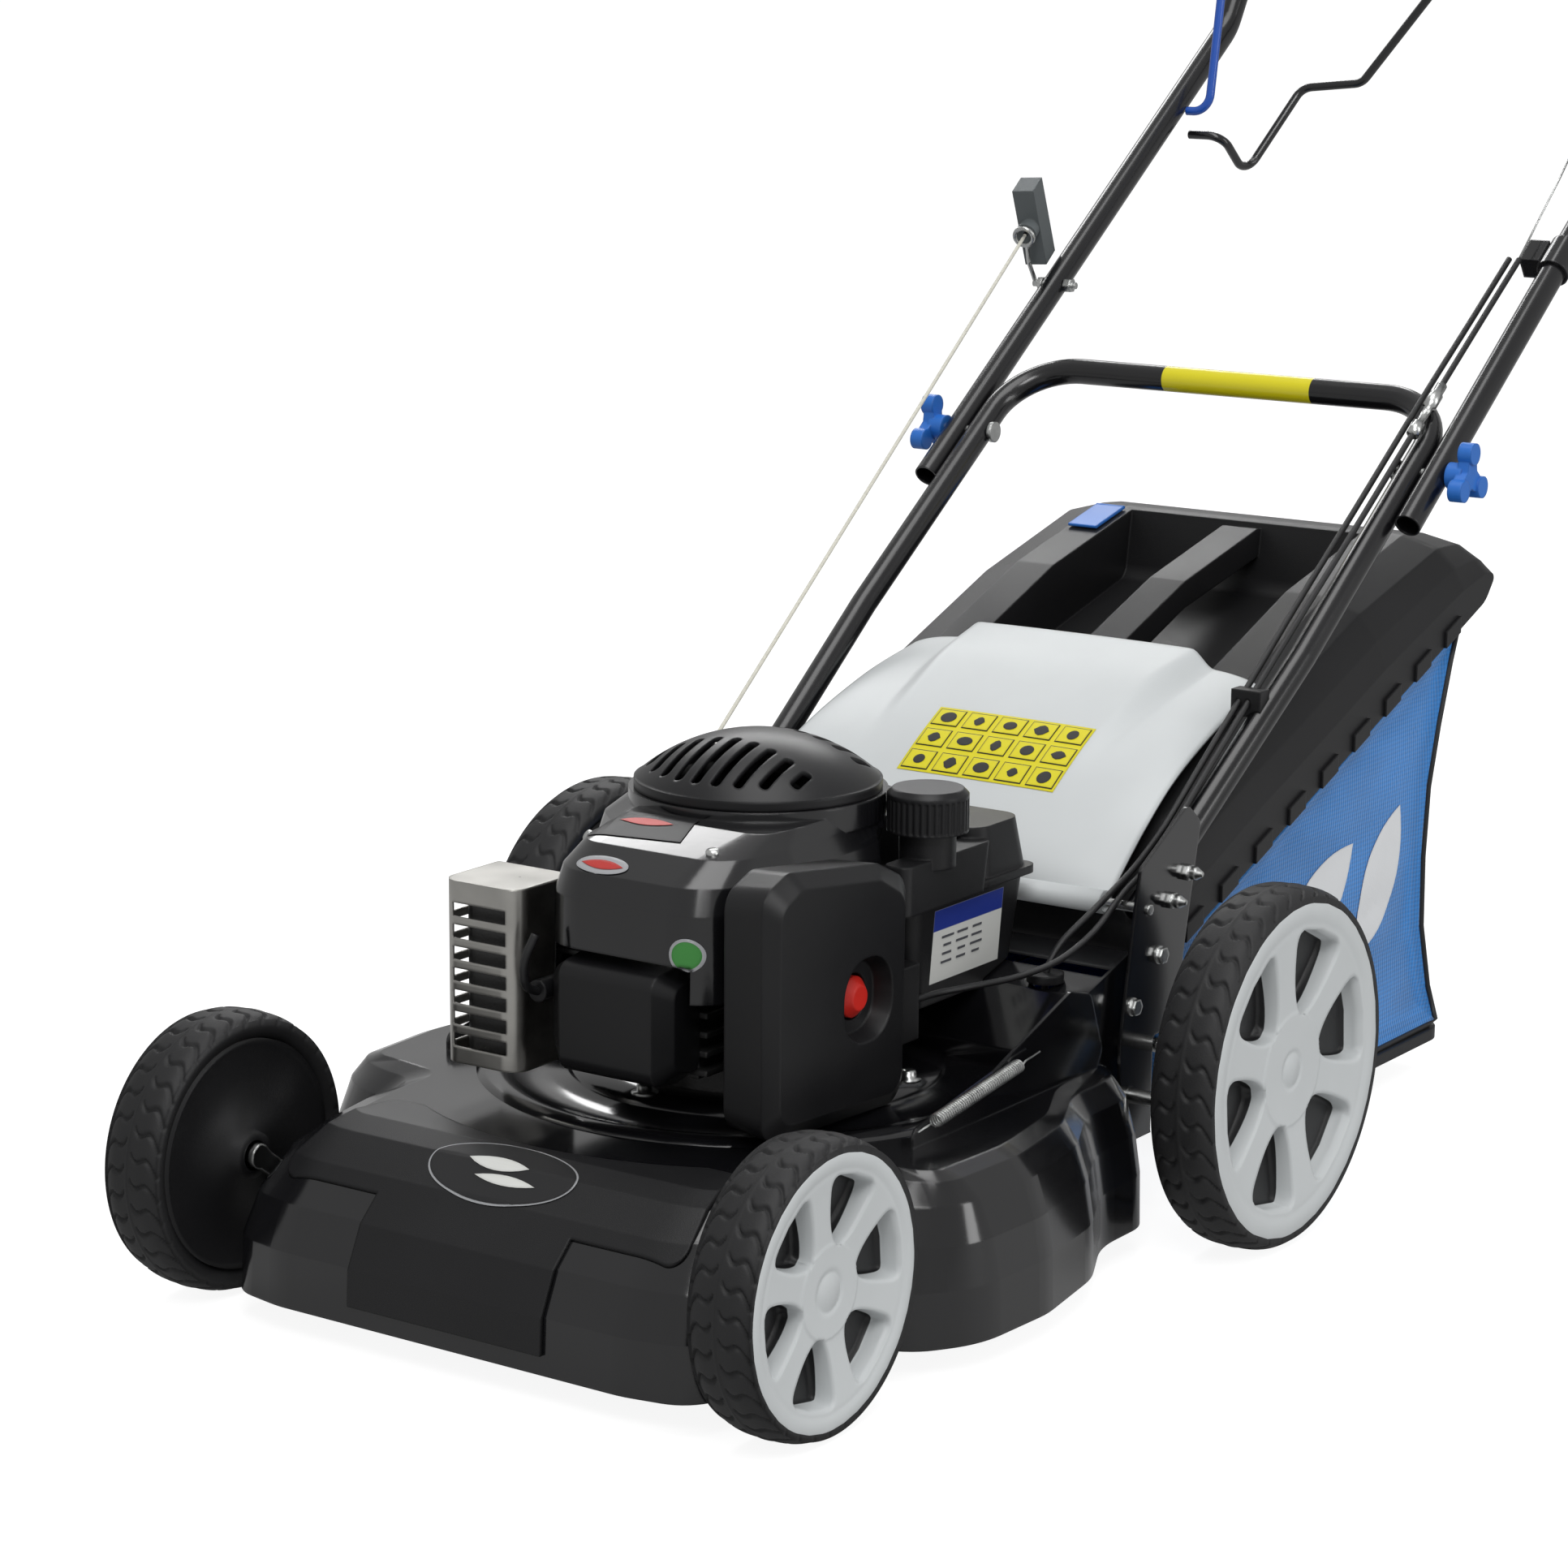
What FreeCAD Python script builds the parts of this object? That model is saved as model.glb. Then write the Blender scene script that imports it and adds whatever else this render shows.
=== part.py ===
import FreeCAD, Part
import math
import os

# Walk-behind petrol lawn mower, in millimetres.
# +Z is up, +X is the mower's left and -Y is its front.  While the pieces are
# made, y = 0 is the front axle; save() moves them to the row's own origin.

V = FreeCAD.Vector
X, Y, Z = V(1, 0, 0), V(0, 1, 0), V(0, 0, 1)

# ---- driving dimensions ----
FRONT_R, REAR_R = 102.0, 137.0          # tyre radii, 8 inch and 11 inch wheels
FRONT_WIDTH, REAR_WIDTH = 50.0, 52.0
FRONT_OUT, REAR_OUT = 278.0, 334.0      # outer faces of the wheels
WHEELBASE = 525.0
AXLE_R, FIT = 6.0, 0.05                 # axle radius and running clearance

SHEET = 2.5                             # pressed steel
SKIRT_Z, DECK_Z = 22.0, 137.0           # lower lip and flat top of the deck
CRANK_Y, CRANK_R = 303.0, 12.5          # engine shaft
BLADE_R, BLADE_Z = 190.0, 50.0

ARM_Y, ARM_Z = 40.0, 30.0               # height-adjuster crank, hub to pivot
ARM_IN = 220.0                          # inner face of the front crank arm
PLATE_X, PLATE_T = 211.0, 3.0           # side plates

TUBE_R, TUBE_WALL = 11.0, 1.5           # handle tube
LEG_X, UPPER_X = 207.0, 230.0           # centre lines of the two handle frames
KNOB_Y, KNOB_Z = 930.0, 526.5           # axis of the fold
SLOPE = math.atan(0.72)                 # rise of the handle

GRILLE_R, GRILLE_Z = 91.0, 349.0
BAG_HALF = 200.0
TOP_Y, TOP_Z = 1455.0, 965.0            # centre line of the top crossbar
FOAM_R = 16.0
Y_SHIFT = (FRONT_R - (TOP_Y + FOAM_R)) / 2


# ---- small helpers ----
def box(x0, x1, y0, y1, z0, z1):
    return Part.makeBox(x1 - x0, y1 - y0, z1 - z0, V(x0, y0, z0))


def rod(radius, start, end):
    a, b = V(*start), V(*end)
    return Part.makeCylinder(radius, (b - a).Length, a, b - a)


def at_crank(radius, z0, z1):
    return rod(radius, (0, CRANK_Y, z0), (0, CRANK_Y, z1))


def cone(r0, r1, start, end):
    a, b = V(*start), V(*end)
    return Part.makeCone(r0, r1, (b - a).Length, a, b - a)


def union(pieces):
    whole = pieces[0].fuse(pieces[1:]) if len(pieces) > 1 else pieces[0]
    return whole.removeSplitter()


def mirror_x(shape):
    return shape.mirror(V(0, 0, 0), X)


def both_sides(shape):
    return [shape, mirror_x(shape)]


def rounded_wire(points, radius):
    """Closed outline of straight runs, each corner rounded with its own arc."""
    points = [V(*p) for p in points]
    count = len(points)
    edges, starts, ends = [], [], []
    for i, corner in enumerate(points):
        back = (points[i - 1] - corner).normalize()
        ahead = (points[(i + 1) % count] - corner).normalize()
        half = back.getAngle(ahead) / 2
        shorter = min((points[i - 1] - corner).Length, (points[(i + 1) % count] - corner).Length)
        cut = min(radius / math.tan(half), 0.45 * shorter)
        arc_r = cut * math.tan(half)
        middle = corner + (back + ahead).normalize() * (arc_r / math.sin(half) - arc_r)
        starts.append(corner + back * cut)
        ends.append(corner + ahead * cut)
        edges.append(Part.Arc(starts[-1], middle, ends[-1]).toShape())
    runs = [Part.makeLine(ends[i], starts[(i + 1) % count]) for i in range(count)]
    return Part.Wire([e for pair in zip(edges, runs) for e in pair])


def plate_x(outline, radius, x0, x1):
    """Flat plate: an outline of (y, z) corners, between two x planes."""
    wire = rounded_wire([(x0, y, z) for y, z in outline], radius)
    return Part.Face(wire).extrude(V(x1 - x0, 0, 0))


def prism_z(outline, radius, z0, z1):
    wire = rounded_wire([(x, y, z0) for x, y in outline], radius)
    return Part.Face(wire).extrude(V(0, 0, z1 - z0))


def loft_z(levels):
    """Solid through rounded outlines; a level is (z, corners, corner radius)."""
    wires = [rounded_wire([(x, y, z) for x, y in corners], r) for z, corners, r in levels]
    return Part.makeLoft(wires, True, True)


def loft_x(levels):
    wires = [rounded_wire([(x, y, z) for y, z in corners], r) for x, corners, r in levels]
    return Part.makeLoft(wires, True, True)


def rectangle(x0, x1, y0, y1):
    return [(x0, y0), (x1, y0), (x1, y1), (x0, y1)]


def path_wire(points, radius=None):
    """Straight runs joined by tangent arcs; with no radius each arc is as large as fits."""
    points = [V(*p) for p in points]
    edges, here, radii = [], points[0], []
    for i in range(1, len(points) - 1):
        corner = points[i]
        back = (points[i - 1] - corner).normalize()
        ahead = (points[i + 1] - corner).normalize()
        half = back.getAngle(ahead) / 2
        shorter = min((points[i - 1] - corner).Length, (points[i + 1] - corner).Length)
        arc_r = radius if radius else 0.45 * shorter * math.tan(half)
        cut = arc_r / math.tan(half)
        middle = corner + (back + ahead).normalize() * (arc_r / math.sin(half) - arc_r)
        edges.append(Part.LineSegment(here, corner + back * cut).toShape())
        here = corner + ahead * cut
        edges.append(Part.Arc(corner + back * cut, middle, here).toShape())
        radii.append(arc_r)
    edges.append(Part.LineSegment(here, points[-1]).toShape())
    return Part.Wire(edges), radii


def sweep(points, section_r, radius=None):
    wire, radii = path_wire(points, radius)
    start = wire.OrderedVertexes[0].Point
    ahead = wire.OrderedEdges[0].tangentAt(wire.OrderedEdges[0].FirstParameter)
    circle = Part.Wire(Part.makeCircle(section_r, start, ahead))
    solid = wire.makePipeShell([circle], True, True)
    expected = math.pi * section_r ** 2 * wire.Length
    return solid, radii, solid.Volume / expected


def cable(name, points, section_r):
    solid, radii, ratio = sweep(points, section_r)
    print(name, "bend radii", [round(r) for r in radii], "volume ratio", round(ratio, 3))
    return solid


def hex_head(radius, start, end):
    a, b = V(*start), V(*end)
    axis = (b - a).normalize()
    side = axis.cross(Z if abs(axis.z) < 0.9 else Y).normalize()
    other = axis.cross(side)
    ring = [a + side * (radius * math.cos(k * math.pi / 3)) + other * (radius * math.sin(k * math.pi / 3))
            for k in range(7)]
    return Part.Face(Part.makePolygon(ring)).extrude(b - a)


def revolve_x(profile, x_sign, y, z):
    """Ring about an X axis; the profile is (radius, x) corners."""
    corners = [V(x_sign * x, y, z + r) for r, x in profile]
    face = Part.Face(Part.makePolygon(corners + corners[:1]))
    return face.revolve(V(0, y, z), X, 360)


def save(name, shape):
    shape = shape.copy()
    shape.translate(V(0, Y_SHIFT, 0))
    solids = shape.Solids
    if not shape.isValid() or not solids:
        print("CHECK", name, shape.isValid(), len(solids))
    shape.exportStep("parts/%s.step" % name)
    print(name, len(solids), round(shape.Volume / 1000, 1))


os.makedirs("parts", exist_ok=True)


# ---- wheels ----
def wheel(name, side, outer, width, radius, y):
    """Tyre, spoked disc and hub of one wheel; side is +1 on the mower's left."""
    inner = outer - width
    bead = radius * 0.94
    tyre = revolve_x([(bead - 12, inner + 5), (bead, inner), (radius - 3, inner + 3), (radius, inner + 9),
                      (radius, outer - 9), (radius - 3, outer - 3), (bead + 1, outer - 1), (bead + 1, outer - 7),
                      (bead - 12, outer - 7)], side, y, radius)
    bore = AXLE_R + FIT
    rim_r = bead - 12.3
    hub = revolve_x([(bore, inner - 4), (17, inner - 4), (17, outer - 22), (bore, outer - 22)], side, y, radius)
    back = revolve_x([(16, inner + 4), (rim_r, inner + 4), (rim_r, inner + 8), (16, inner + 8)], side, y, radius)
    barrel = revolve_x([(rim_r - 3, inner + 4), (rim_r, inner + 4), (rim_r, outer - 5), (rim_r - 3, outer - 5)],
                       side, y, radius)
    face = revolve_x([(0, outer - 9), (0, outer - 13), (26, outer - 12), (rim_r - 2, outer - 5),
                      (bead - 2, outer - 6), (bead - 2, outer - 2), (rim_r - 6, outer - 1),
                      (26, outer - 7), (22, outer - 9)], side, y, radius)
    web = revolve_x([(16, outer - 26), (26, outer - 12), (26, outer - 8), (15, outer - 8), (15, outer - 22),
                     (16, outer - 24)], side, y, radius)
    windows = []
    for k in range(6):
        angle = math.radians(60 * k + 12)
        turned = [(r * math.cos(angle + a), r * math.sin(angle + a)) for r, a in
                  ((radius * 0.30, 0.0), (radius * 0.72, -0.30), (radius * 0.78, 0.02), (radius * 0.72, 0.30))]
        windows.append(plate_x([(y + a, radius + b) for a, b in turned], 5.0,
                               side * (outer - 16), side * outer))
    face = face.cut(windows)
    save(name + "_tyre", tyre)
    save(name + "_disc", union([hub, back, barrel, face, web]))


for label, side in (("left", 1), ("right", -1)):
    wheel("front_" + label, side, FRONT_OUT, FRONT_WIDTH, FRONT_R, 0.0)
    wheel("rear_" + label, side, REAR_OUT, REAR_WIDTH, REAR_R, WHEELBASE)


# ---- height-adjuster cranks, which carry the wheels ----
def crank(hub_y, hub_z, pivot_y, pivot_z, arm_in, wheel_in, wheel_out):
    arm_out = arm_in + 5
    arm = plate_x([(hub_y - 12, hub_z), (hub_y, hub_z + 12), (hub_y + 12, hub_z), (pivot_y + 12, pivot_z),
                   (pivot_y, pivot_z - 12), (pivot_y - 12, pivot_z)], 6.0, arm_in, arm_out)
    stub = rod(AXLE_R, (arm_in, hub_y, hub_z), (wheel_out - 15, hub_y, hub_z))
    nut = hex_head(9.0, (wheel_out - 21, hub_y, hub_z), (wheel_out - 15, hub_y, hub_z))
    collar = rod(9.0, (arm_in, hub_y, hub_z), (wheel_in - 5, hub_y, hub_z))
    return [arm, stub, nut, collar]


front_pivot_z = FRONT_R - ARM_Z
front = crank(0.0, FRONT_R, ARM_Y, front_pivot_z, ARM_IN - 2, FRONT_OUT - FRONT_WIDTH, FRONT_OUT)
front += [mirror_x(p) for p in front]
front.append(rod(AXLE_R, (-ARM_IN, ARM_Y, front_pivot_z), (ARM_IN, ARM_Y, front_pivot_z)))
save("front_axle", union(front))

rear_pivot_y, rear_pivot_z = WHEELBASE - ARM_Y, REAR_R - ARM_Z
rear_arm = plate_x([(WHEELBASE + 12, REAR_R), (WHEELBASE, REAR_R + 12), (WHEELBASE - 12, REAR_R),
                    (rear_pivot_y - 12, rear_pivot_z), (rear_pivot_y, rear_pivot_z - 12),
                    (rear_pivot_y + 12, rear_pivot_z)], 6.0, 258.0, 263.0)
rear_pivot = rod(AXLE_R, (PLATE_X - 6, rear_pivot_y, rear_pivot_z), (262, rear_pivot_y, rear_pivot_z))
rear_nut = hex_head(9.0, (REAR_OUT - 21, WHEELBASE, REAR_R), (REAR_OUT - 15, WHEELBASE, REAR_R))
rear_collar = rod(9.0, (262, WHEELBASE, REAR_R), (REAR_OUT - REAR_WIDTH - 5, WHEELBASE, REAR_R))
rear = both_sides(rear_arm) + both_sides(rear_pivot) + both_sides(rear_nut) + both_sides(rear_collar)
rear.append(rod(AXLE_R, (15 - REAR_OUT, WHEELBASE, REAR_R), (REAR_OUT - 15, WHEELBASE, REAR_R)))
save("rear_axle", union(rear))

case = prism_z(rectangle(-135, -65, WHEELBASE - 28, WHEELBASE + 22), 10.0, REAR_R - 14, REAR_R + 26)
case = case.cut(rod(AXLE_R, (-140, WHEELBASE, REAR_R), (-60, WHEELBASE, REAR_R)))
save("gearbox", case)

lever = plate_x([(rear_pivot_y - 8, rear_pivot_z - 8), (rear_pivot_y + 8, rear_pivot_z - 8),
                 (rear_pivot_y - 4, 186.0), (rear_pivot_y - 20, 186.0)], 4.0, -257.7, -253.7)
lever_grip = prism_z(rectangle(-264, -248, rear_pivot_y - 26, rear_pivot_y + 2), 6.0, 180.0, 216.0)
lever_hole = rod(AXLE_R, (-270, rear_pivot_y, rear_pivot_z), (-240, rear_pivot_y, rear_pivot_z))
save("height_lever", union([lever, lever_grip]).cut(lever_hole))


# ---- deck: a pressed shell, open below and at the rear ----
HOOD = ((22.0, 0.0, -58.0), (62.0, 1.0, -56.0), (92.0, 6.0, -42.0), (118.0, 15.0, -14.0), (132.0, 27.0, 14.0),
        (137.0, 40.0, 36.0))                # height, side inset and front edge of each level


def skirt(inset, front_y):
    side = [(150, front_y - 4), (202 - inset, front_y + 6), (214 - inset, front_y + 70), (214 - inset, 108 + inset),
            (258 - inset, 116 + inset), (288 - inset, 160), (293 - inset, 240), (280 - inset, 322),
            (250 - inset, 384), (250 - inset, 470)]
    return side + [(-x, y) for x, y in reversed(side)]


def deck_form(inset, floor):
    """The hood grown inwards by inset; a negative inset gives a skin that lies over it."""
    levels = [(min(z, DECK_Z - inset) if z > 100 else z, skirt(side + inset, front_y + inset), 90.0)
              for z, side, front_y in HOOD]
    levels[0] = (floor, levels[0][1], 90.0)
    levels[-1] = (DECK_Z - inset, levels[-1][1], 90.0)
    levels[-2] = (levels[-2][0] - 0.7 * inset, levels[-2][1], 90.0)
    return loft_z(levels)


def chute_form(inset, floor, back):
    outline = [(402 + 2 * inset, floor), (402 + 2 * inset, 152 - inset), (430 + inset, 193 - inset),
               (back, 214 - inset), (back, floor)]
    return plate_x(outline, 2.0, -204 + inset, 204 - inset)


outer = deck_form(0, SKIRT_Z).fuse(chute_form(0, 110.0, 500.0))
inner = deck_form(SHEET, SKIRT_Z - 1).fuse(chute_form(SHEET, 60.0, 520.0))
deck = outer.cut(inner)
deck = deck.cut(box(-204 + SHEET, 204 - SHEET, 460, 520, 0, 205))
ridge_outline = [(196, 128), (196, 150), (300, 168), (405, 204), (434, 196), (452, 150), (440, 128)]
ridge = plate_x(ridge_outline, 8.0, 206.0, 206.0 + SHEET)
deck = deck.fuse(both_sides(ridge))
deck = deck.cut(rod(30.0, (0, CRANK_Y, 120), (0, CRANK_Y, 150)))
deck = deck.cut(rod(AXLE_R + FIT, (-260, ARM_Y, front_pivot_z), (260, ARM_Y, front_pivot_z)))
GROMMET = (165.0, 440.0)
deck = deck.cut(rod(9.0, (GROMMET[0], GROMMET[1], 170), (GROMMET[0], GROMMET[1], 230)))
save("deck", deck)

grommet = rod(14.0, (GROMMET[0], GROMMET[1], 197.5), (GROMMET[0], GROMMET[1], 204)).cut(deck)

region = plate_x([(-90, 36), (-90, 150), (60, 150), (60, 36)], 1.0, -84.0, 84.0)
wings = prism_z([(-176, -30), (176, -30), (150, 70), (-150, 70)], 12.0, 90.0, 150.0)
region = region.fuse(wings).cut(at_crank(264.0, 20, 160))
save("nose_cover", union([deck_form(-3.2, SKIRT_Z).cut(deck_form(-0.4, SKIRT_Z - 5)).common(region)]))


# ---- side plates with the lower handle and the flap rod ----
plate_outline = [(470, 70), (470, 150), (486, 240), (494, 279), (562, 316), (582, 300), (560, 200), (556, 70)]
HINGE_Y, HINGE_Z = 506.0, 246.0


def leg_z(y):
    return KNOB_Z + math.tan(math.radians(35.3)) * (y - KNOB_Y)


plates = plate_x(plate_outline, 8.0, PLATE_X, PLATE_X + PLATE_T)
for y in (536.0, 560.0):
    plates = plates.cut(rod(3.1, (200, y, leg_z(y)), (230, y, leg_z(y))))
plates = plates.cut(rod(AXLE_R + FIT, (200, rear_pivot_y, rear_pivot_z), (230, rear_pivot_y, rear_pivot_z)))
sweep_slot = plate_x([(WHEELBASE - 8, REAR_R + 9), (WHEELBASE + 9, REAR_R + 9), (WHEELBASE + 20, REAR_R - ARM_Z),
                      (WHEELBASE + 9, REAR_R - 2 * ARM_Z - 9), (WHEELBASE - 8, REAR_R - 2 * ARM_Z - 9)],
                     5.0, 200.0, 230.0)
plates = plates.cut(sweep_slot)
plates = plates.cut(rod(4.0, (200, HINGE_Y, HINGE_Z), (230, HINGE_Y, HINGE_Z)))
save("side_plate_left", plates)
save("side_plate_right", mirror_x(plates))
save("flap_hinge_rod", rod(3.95, (-PLATE_X - PLATE_T - 2, HINGE_Y, HINGE_Z), (PLATE_X + PLATE_T + 2, HINGE_Y, HINGE_Z)))


def leg_bolt(y):
    z = leg_z(y)
    return [rod(3.0, (184, y, z), (222, y, z)), hex_head(6.5, (214, y, z), (219, y, z)),
            rod(5.2, (219, y, z), (224, y, z)), cone(5.2, 2.0, (224, y, z), (229, y, z))]


def plain_bolt(x, y, z):
    return [rod(7.0, (x, y, z), (x + 1.5, y, z)), hex_head(6.5, (x + 1.5, y, z), (x + 6, y, z))]


fasteners = []
for group in (leg_bolt(536.0), leg_bolt(560.0), plain_bolt(214, 522, 208), plain_bolt(214, 484, 176)):
    fasteners += both_sides(union(group))
save("chassis_fasteners", Part.makeCompound(fasteners))

lower_points = [(-195, 520, leg_z(520)), (-LEG_X, 750, leg_z(750)), (-LEG_X, 1000, leg_z(1000)),
                (LEG_X, 1000, leg_z(1000)), (LEG_X, 750, leg_z(750)), (195, 520, leg_z(520))]
lower = sweep(lower_points, TUBE_R, 60.0)[0].cut(sweep(lower_points, TUBE_R - TUBE_WALL, 60.0)[0])
pin = 4.0
lower = lower.cut(rod(pin, (-240, KNOB_Y, KNOB_Z), (240, KNOB_Y, KNOB_Z)))
for y in (536.0, 560.0):
    lower = lower.cut(rod(3.0, (-230, y, leg_z(y)), (230, y, leg_z(y))))
save("lower_handle", lower)

bolt = [rod(pin, (194, KNOB_Y, KNOB_Z), (256, KNOB_Y, KNOB_Z)), rod(9.0, (192, KNOB_Y, KNOB_Z), (195.6, KNOB_Y, KNOB_Z))]
save("handle_bolts", Part.makeCompound(both_sides(union(bolt))))


# ---- upper handle, which folds on the two bolts ----
def upper_z(y):
    return KNOB_Z + math.tan(SLOPE) * (y - KNOB_Y)


def upper_path(x):
    return [(x, 880, upper_z(880)), (x, 1392, upper_z(1392)), (x, TOP_Y, TOP_Z)]


upper_points = upper_path(-UPPER_X) + list(reversed(upper_path(UPPER_X)))
upper = sweep(upper_points, TUBE_R, 55.0)[0].cut(sweep(upper_points, TUBE_R - TUBE_WALL, 55.0)[0])
upper = upper.cut(rod(pin + FIT, (-260, KNOB_Y, KNOB_Z), (260, KNOB_Y, KNOB_Z)))
guide_y = 1088.0
gz = upper_z(guide_y)
upper = upper.cut(rod(3.0, (-260, guide_y, gz), (-200, guide_y, gz)))
save("upper_handle", upper)

foam_points = [(-UPPER_X, 1412, 892.7), (-UPPER_X, TOP_Y, TOP_Z), (UPPER_X, TOP_Y, TOP_Z), (UPPER_X, 1412, 892.7)]
foam = sweep(foam_points, FOAM_R, 55.0)[0].cut(sweep(foam_points, TUBE_R, 55.0)[0])
save("foam_grip", foam)


def knob(side):
    x0, lobes = UPPER_X + TUBE_R + 0.6, []
    lobes.append(rod(11.0, (x0, KNOB_Y, KNOB_Z), (x0 + 14, KNOB_Y, KNOB_Z)))
    for k in range(3):
        a = math.radians(90 + 120 * k)
        tip = (x0 + 10, KNOB_Y + 19 * math.cos(a), KNOB_Z + 19 * math.sin(a))
        lobes.append(rod(9.0, tip, (x0 + 22, tip[1], tip[2])))
        web = plate_x([(KNOB_Y - 9 * math.sin(a), KNOB_Z + 9 * math.cos(a)),
                       (KNOB_Y + 9 * math.sin(a), KNOB_Z - 9 * math.cos(a)),
                       (tip[1] + 6 * math.sin(a), tip[2] - 6 * math.cos(a)),
                       (tip[1] - 6 * math.sin(a), tip[2] + 6 * math.cos(a))], 2.0, x0 + 10, x0 + 20)
        lobes.append(web)
    shape = union(lobes).cut(rod(pin + FIT, (x0 - 1, KNOB_Y, KNOB_Z), (x0 + 19, KNOB_Y, KNOB_Z)))
    return shape if side > 0 else mirror_x(shape)


save("left_knob", knob(1))
save("right_knob", knob(-1))

# ---- the two bails on the handle ----
BAIL_Y, BAIL_Z, BAIL_R = 1300.0, 786.0, 4.0
BAIL_X = 212.0


brake_half = [(-218.6, BAIL_Y, BAIL_Z), (-196, BAIL_Y, BAIL_Z), (-196, 1318, 893), (-196, 1292, 970)]
save("brake_bail", sweep(brake_half + [(-x, y, z) for x, y, z in reversed(brake_half)], BAIL_R, 16.0)[0])
drive_y, drive_z = 1306.0, 764.0
drive_points = [(-218.6, drive_y, drive_z), (-184, drive_y, drive_z), (-184, 1352, 726), (-150, 1396, 806),
                (-92, 1404, 812), (-4, 1428, 934), (184, 1428, 934), (184, 1352, 726), (184, drive_y, drive_z),
                (218.6, drive_y, drive_z)]
save("drive_bail", sweep(drive_points, BAIL_R, 16.0)[0])

bracket_y = 1135.0
saddle = rod(TUBE_R + 3, (0, 0, 0), (0, 0, 34)).cut(rod(TUBE_R, (0, 0, 0), (0, 0, 34)))
saddle = saddle.fuse(box(-30, -TUBE_R - 1, -10, 10, 4, 30))
saddle.rotate(V(0, 0, 0), X, -(90 - math.degrees(SLOPE)))
saddle.translate(V(UPPER_X, bracket_y, upper_z(bracket_y)))
save("cable_bracket", saddle)

EYE = (-244.0, 1056.0, 684.0)
guide = [rod(3.0, (-252, guide_y, gz), (-208, guide_y, gz)), hex_head(6.5, (-246, guide_y, gz), (-241.2, guide_y, gz)),
         hex_head(6.5, (-218.8, guide_y, gz), (-212, guide_y, gz))]
stalk = sweep([(-250, guide_y, gz), (-252, 1078, 660), (EYE[0], EYE[1] + 6, EYE[2] - 8)], 2.0, 6.0)[0]
loop = Part.makeTorus(8.5, 2.0, V(*EYE), V(-0.2, 0.89, 0.41))
save("rope_guide", union(guide + [stalk, loop]))

OUTLET = V(-84.0, 352.0, 352.0)
pull = (V(*EYE) - OUTLET).normalize()
rope_end = V(*EYE) + pull * 3.0
save("starter_rope", rod(1.6, tuple(OUTLET), tuple(rope_end)))

grip = rod(9.5, (0, 0, 5), (0, 0, 18)).fuse(box(-10, 10, -37, 37, 16, 42))
grip = grip.cut(rod(2.2, (0, 0, 0), (0, 0, 30))).cut(box(-6, 6, -32, 32, 24, 43))
grip.rotate(V(0, 0, 0), Z, 10)
grip.Placement = FreeCAD.Placement(V(*EYE), FreeCAD.Rotation(Z, pull)).multiply(grip.Placement)
save("starter_grip", grip)


# ---- engine ----
CAP_X, CAP_Y = 116.0, 352.0


block = [at_crank(96.0, DECK_Z + 0.2, 172), at_crank(84.0, 168, 262), box(-48, 58, 150, 240, 172, 262)]
for k in range(6):
    block.append(box(-58, 68, 146, 222, 176 + 14 * k, 180 + 14 * k))
block = union(block).cut(at_crank(CRANK_R + FIT, 100, 300))
save("engine_block", block)

cover = loft_x([(-44, [(116, 186), (146, 178), (146, 250), (116, 244)], 10.0),
                (-30, [(104, 174), (146, 170), (146, 258), (104, 252)], 12.0),
                (50, [(104, 174), (146, 170), (146, 258), (104, 252)], 12.0),
                (62, [(116, 186), (146, 178), (146, 250), (116, 244)], 10.0)])
save("valve_cover", cover)


SHROUD_LEVELS = ((0.0, 112.0, 0.0), (298.0, 113.0, 1.0), (316.0, 121.0, 4.0), (331.0, 148.0, 10.0),
                 (342.0, 194.0, 16.0))      # height, front edge and side inset


def shroud_form(inset, base):
    levels = []
    for z, front_y, side in SHROUD_LEVELS:
        near, far, i = front_y + inset, 400 - 0.8 * side - inset, side + inset
        outline = [(-60 + i, near), (95 - i, near), (102 - i, max(210, near + 30)), (98 - 0.6 * i, far),
                   (-100 + 0.6 * i, far), (-104 + i, max(238, near + 66)), (-62 + i, max(198, near + 34))]
        levels.append((max(z, base) if z < 300 else z - inset, outline, 40.0))
    return loft_z(levels)


shroud = shroud_form(0, 236).fuse(at_crank(GRILLE_R + 4, 330, GRILLE_Z))
shroud = shroud.cut(shroud_form(3, 220).fuse(at_crank(GRILLE_R - 3, 325, 360)))
shroud = shroud.cut(box(-56, 75, 100, 148, 220, 262))
tank_space = box(12, 140, 318, 500, 180, 325).fuse(rod(32.0, (CAP_X, CAP_Y, 300), (CAP_X, CAP_Y, 360)))
shroud = shroud.cut(tank_space.cut(at_crank(95.2, 170, 370))).cut(block)
save("blower_housing", union([max(shroud.Solids, key=lambda s: s.Volume)]))

dome = Part.makeSphere(136.0, V(0, CRANK_Y, 390.0 - 136.0)).cut(Part.makeSphere(132.5, V(0, CRANK_Y, 390.0 - 136.0)))
dome = dome.common(at_crank(GRILLE_R, GRILLE_Z + 2.6, 400))
rim = at_crank(GRILLE_R, GRILLE_Z + 0.3, GRILLE_Z + 7).cut(at_crank(GRILLE_R - 6, 330, 400))
dome = union([dome, rim])
slots = []
for row in range(-4, 5):
    x = row * 16.0
    reach = math.sqrt(80.0 ** 2 - x ** 2)
    for y0, y1 in ((CRANK_Y - reach, CRANK_Y - 24 - abs(row)), (CRANK_Y + 24 + abs(row), CRANK_Y + reach)):
        if y1 - y0 > 14:
            slots.append(prism_z(rectangle(x - 4, x + 4, y0, y1), 3.5, 340, 400))
save("starter_grille", dome.cut(slots))

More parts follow.
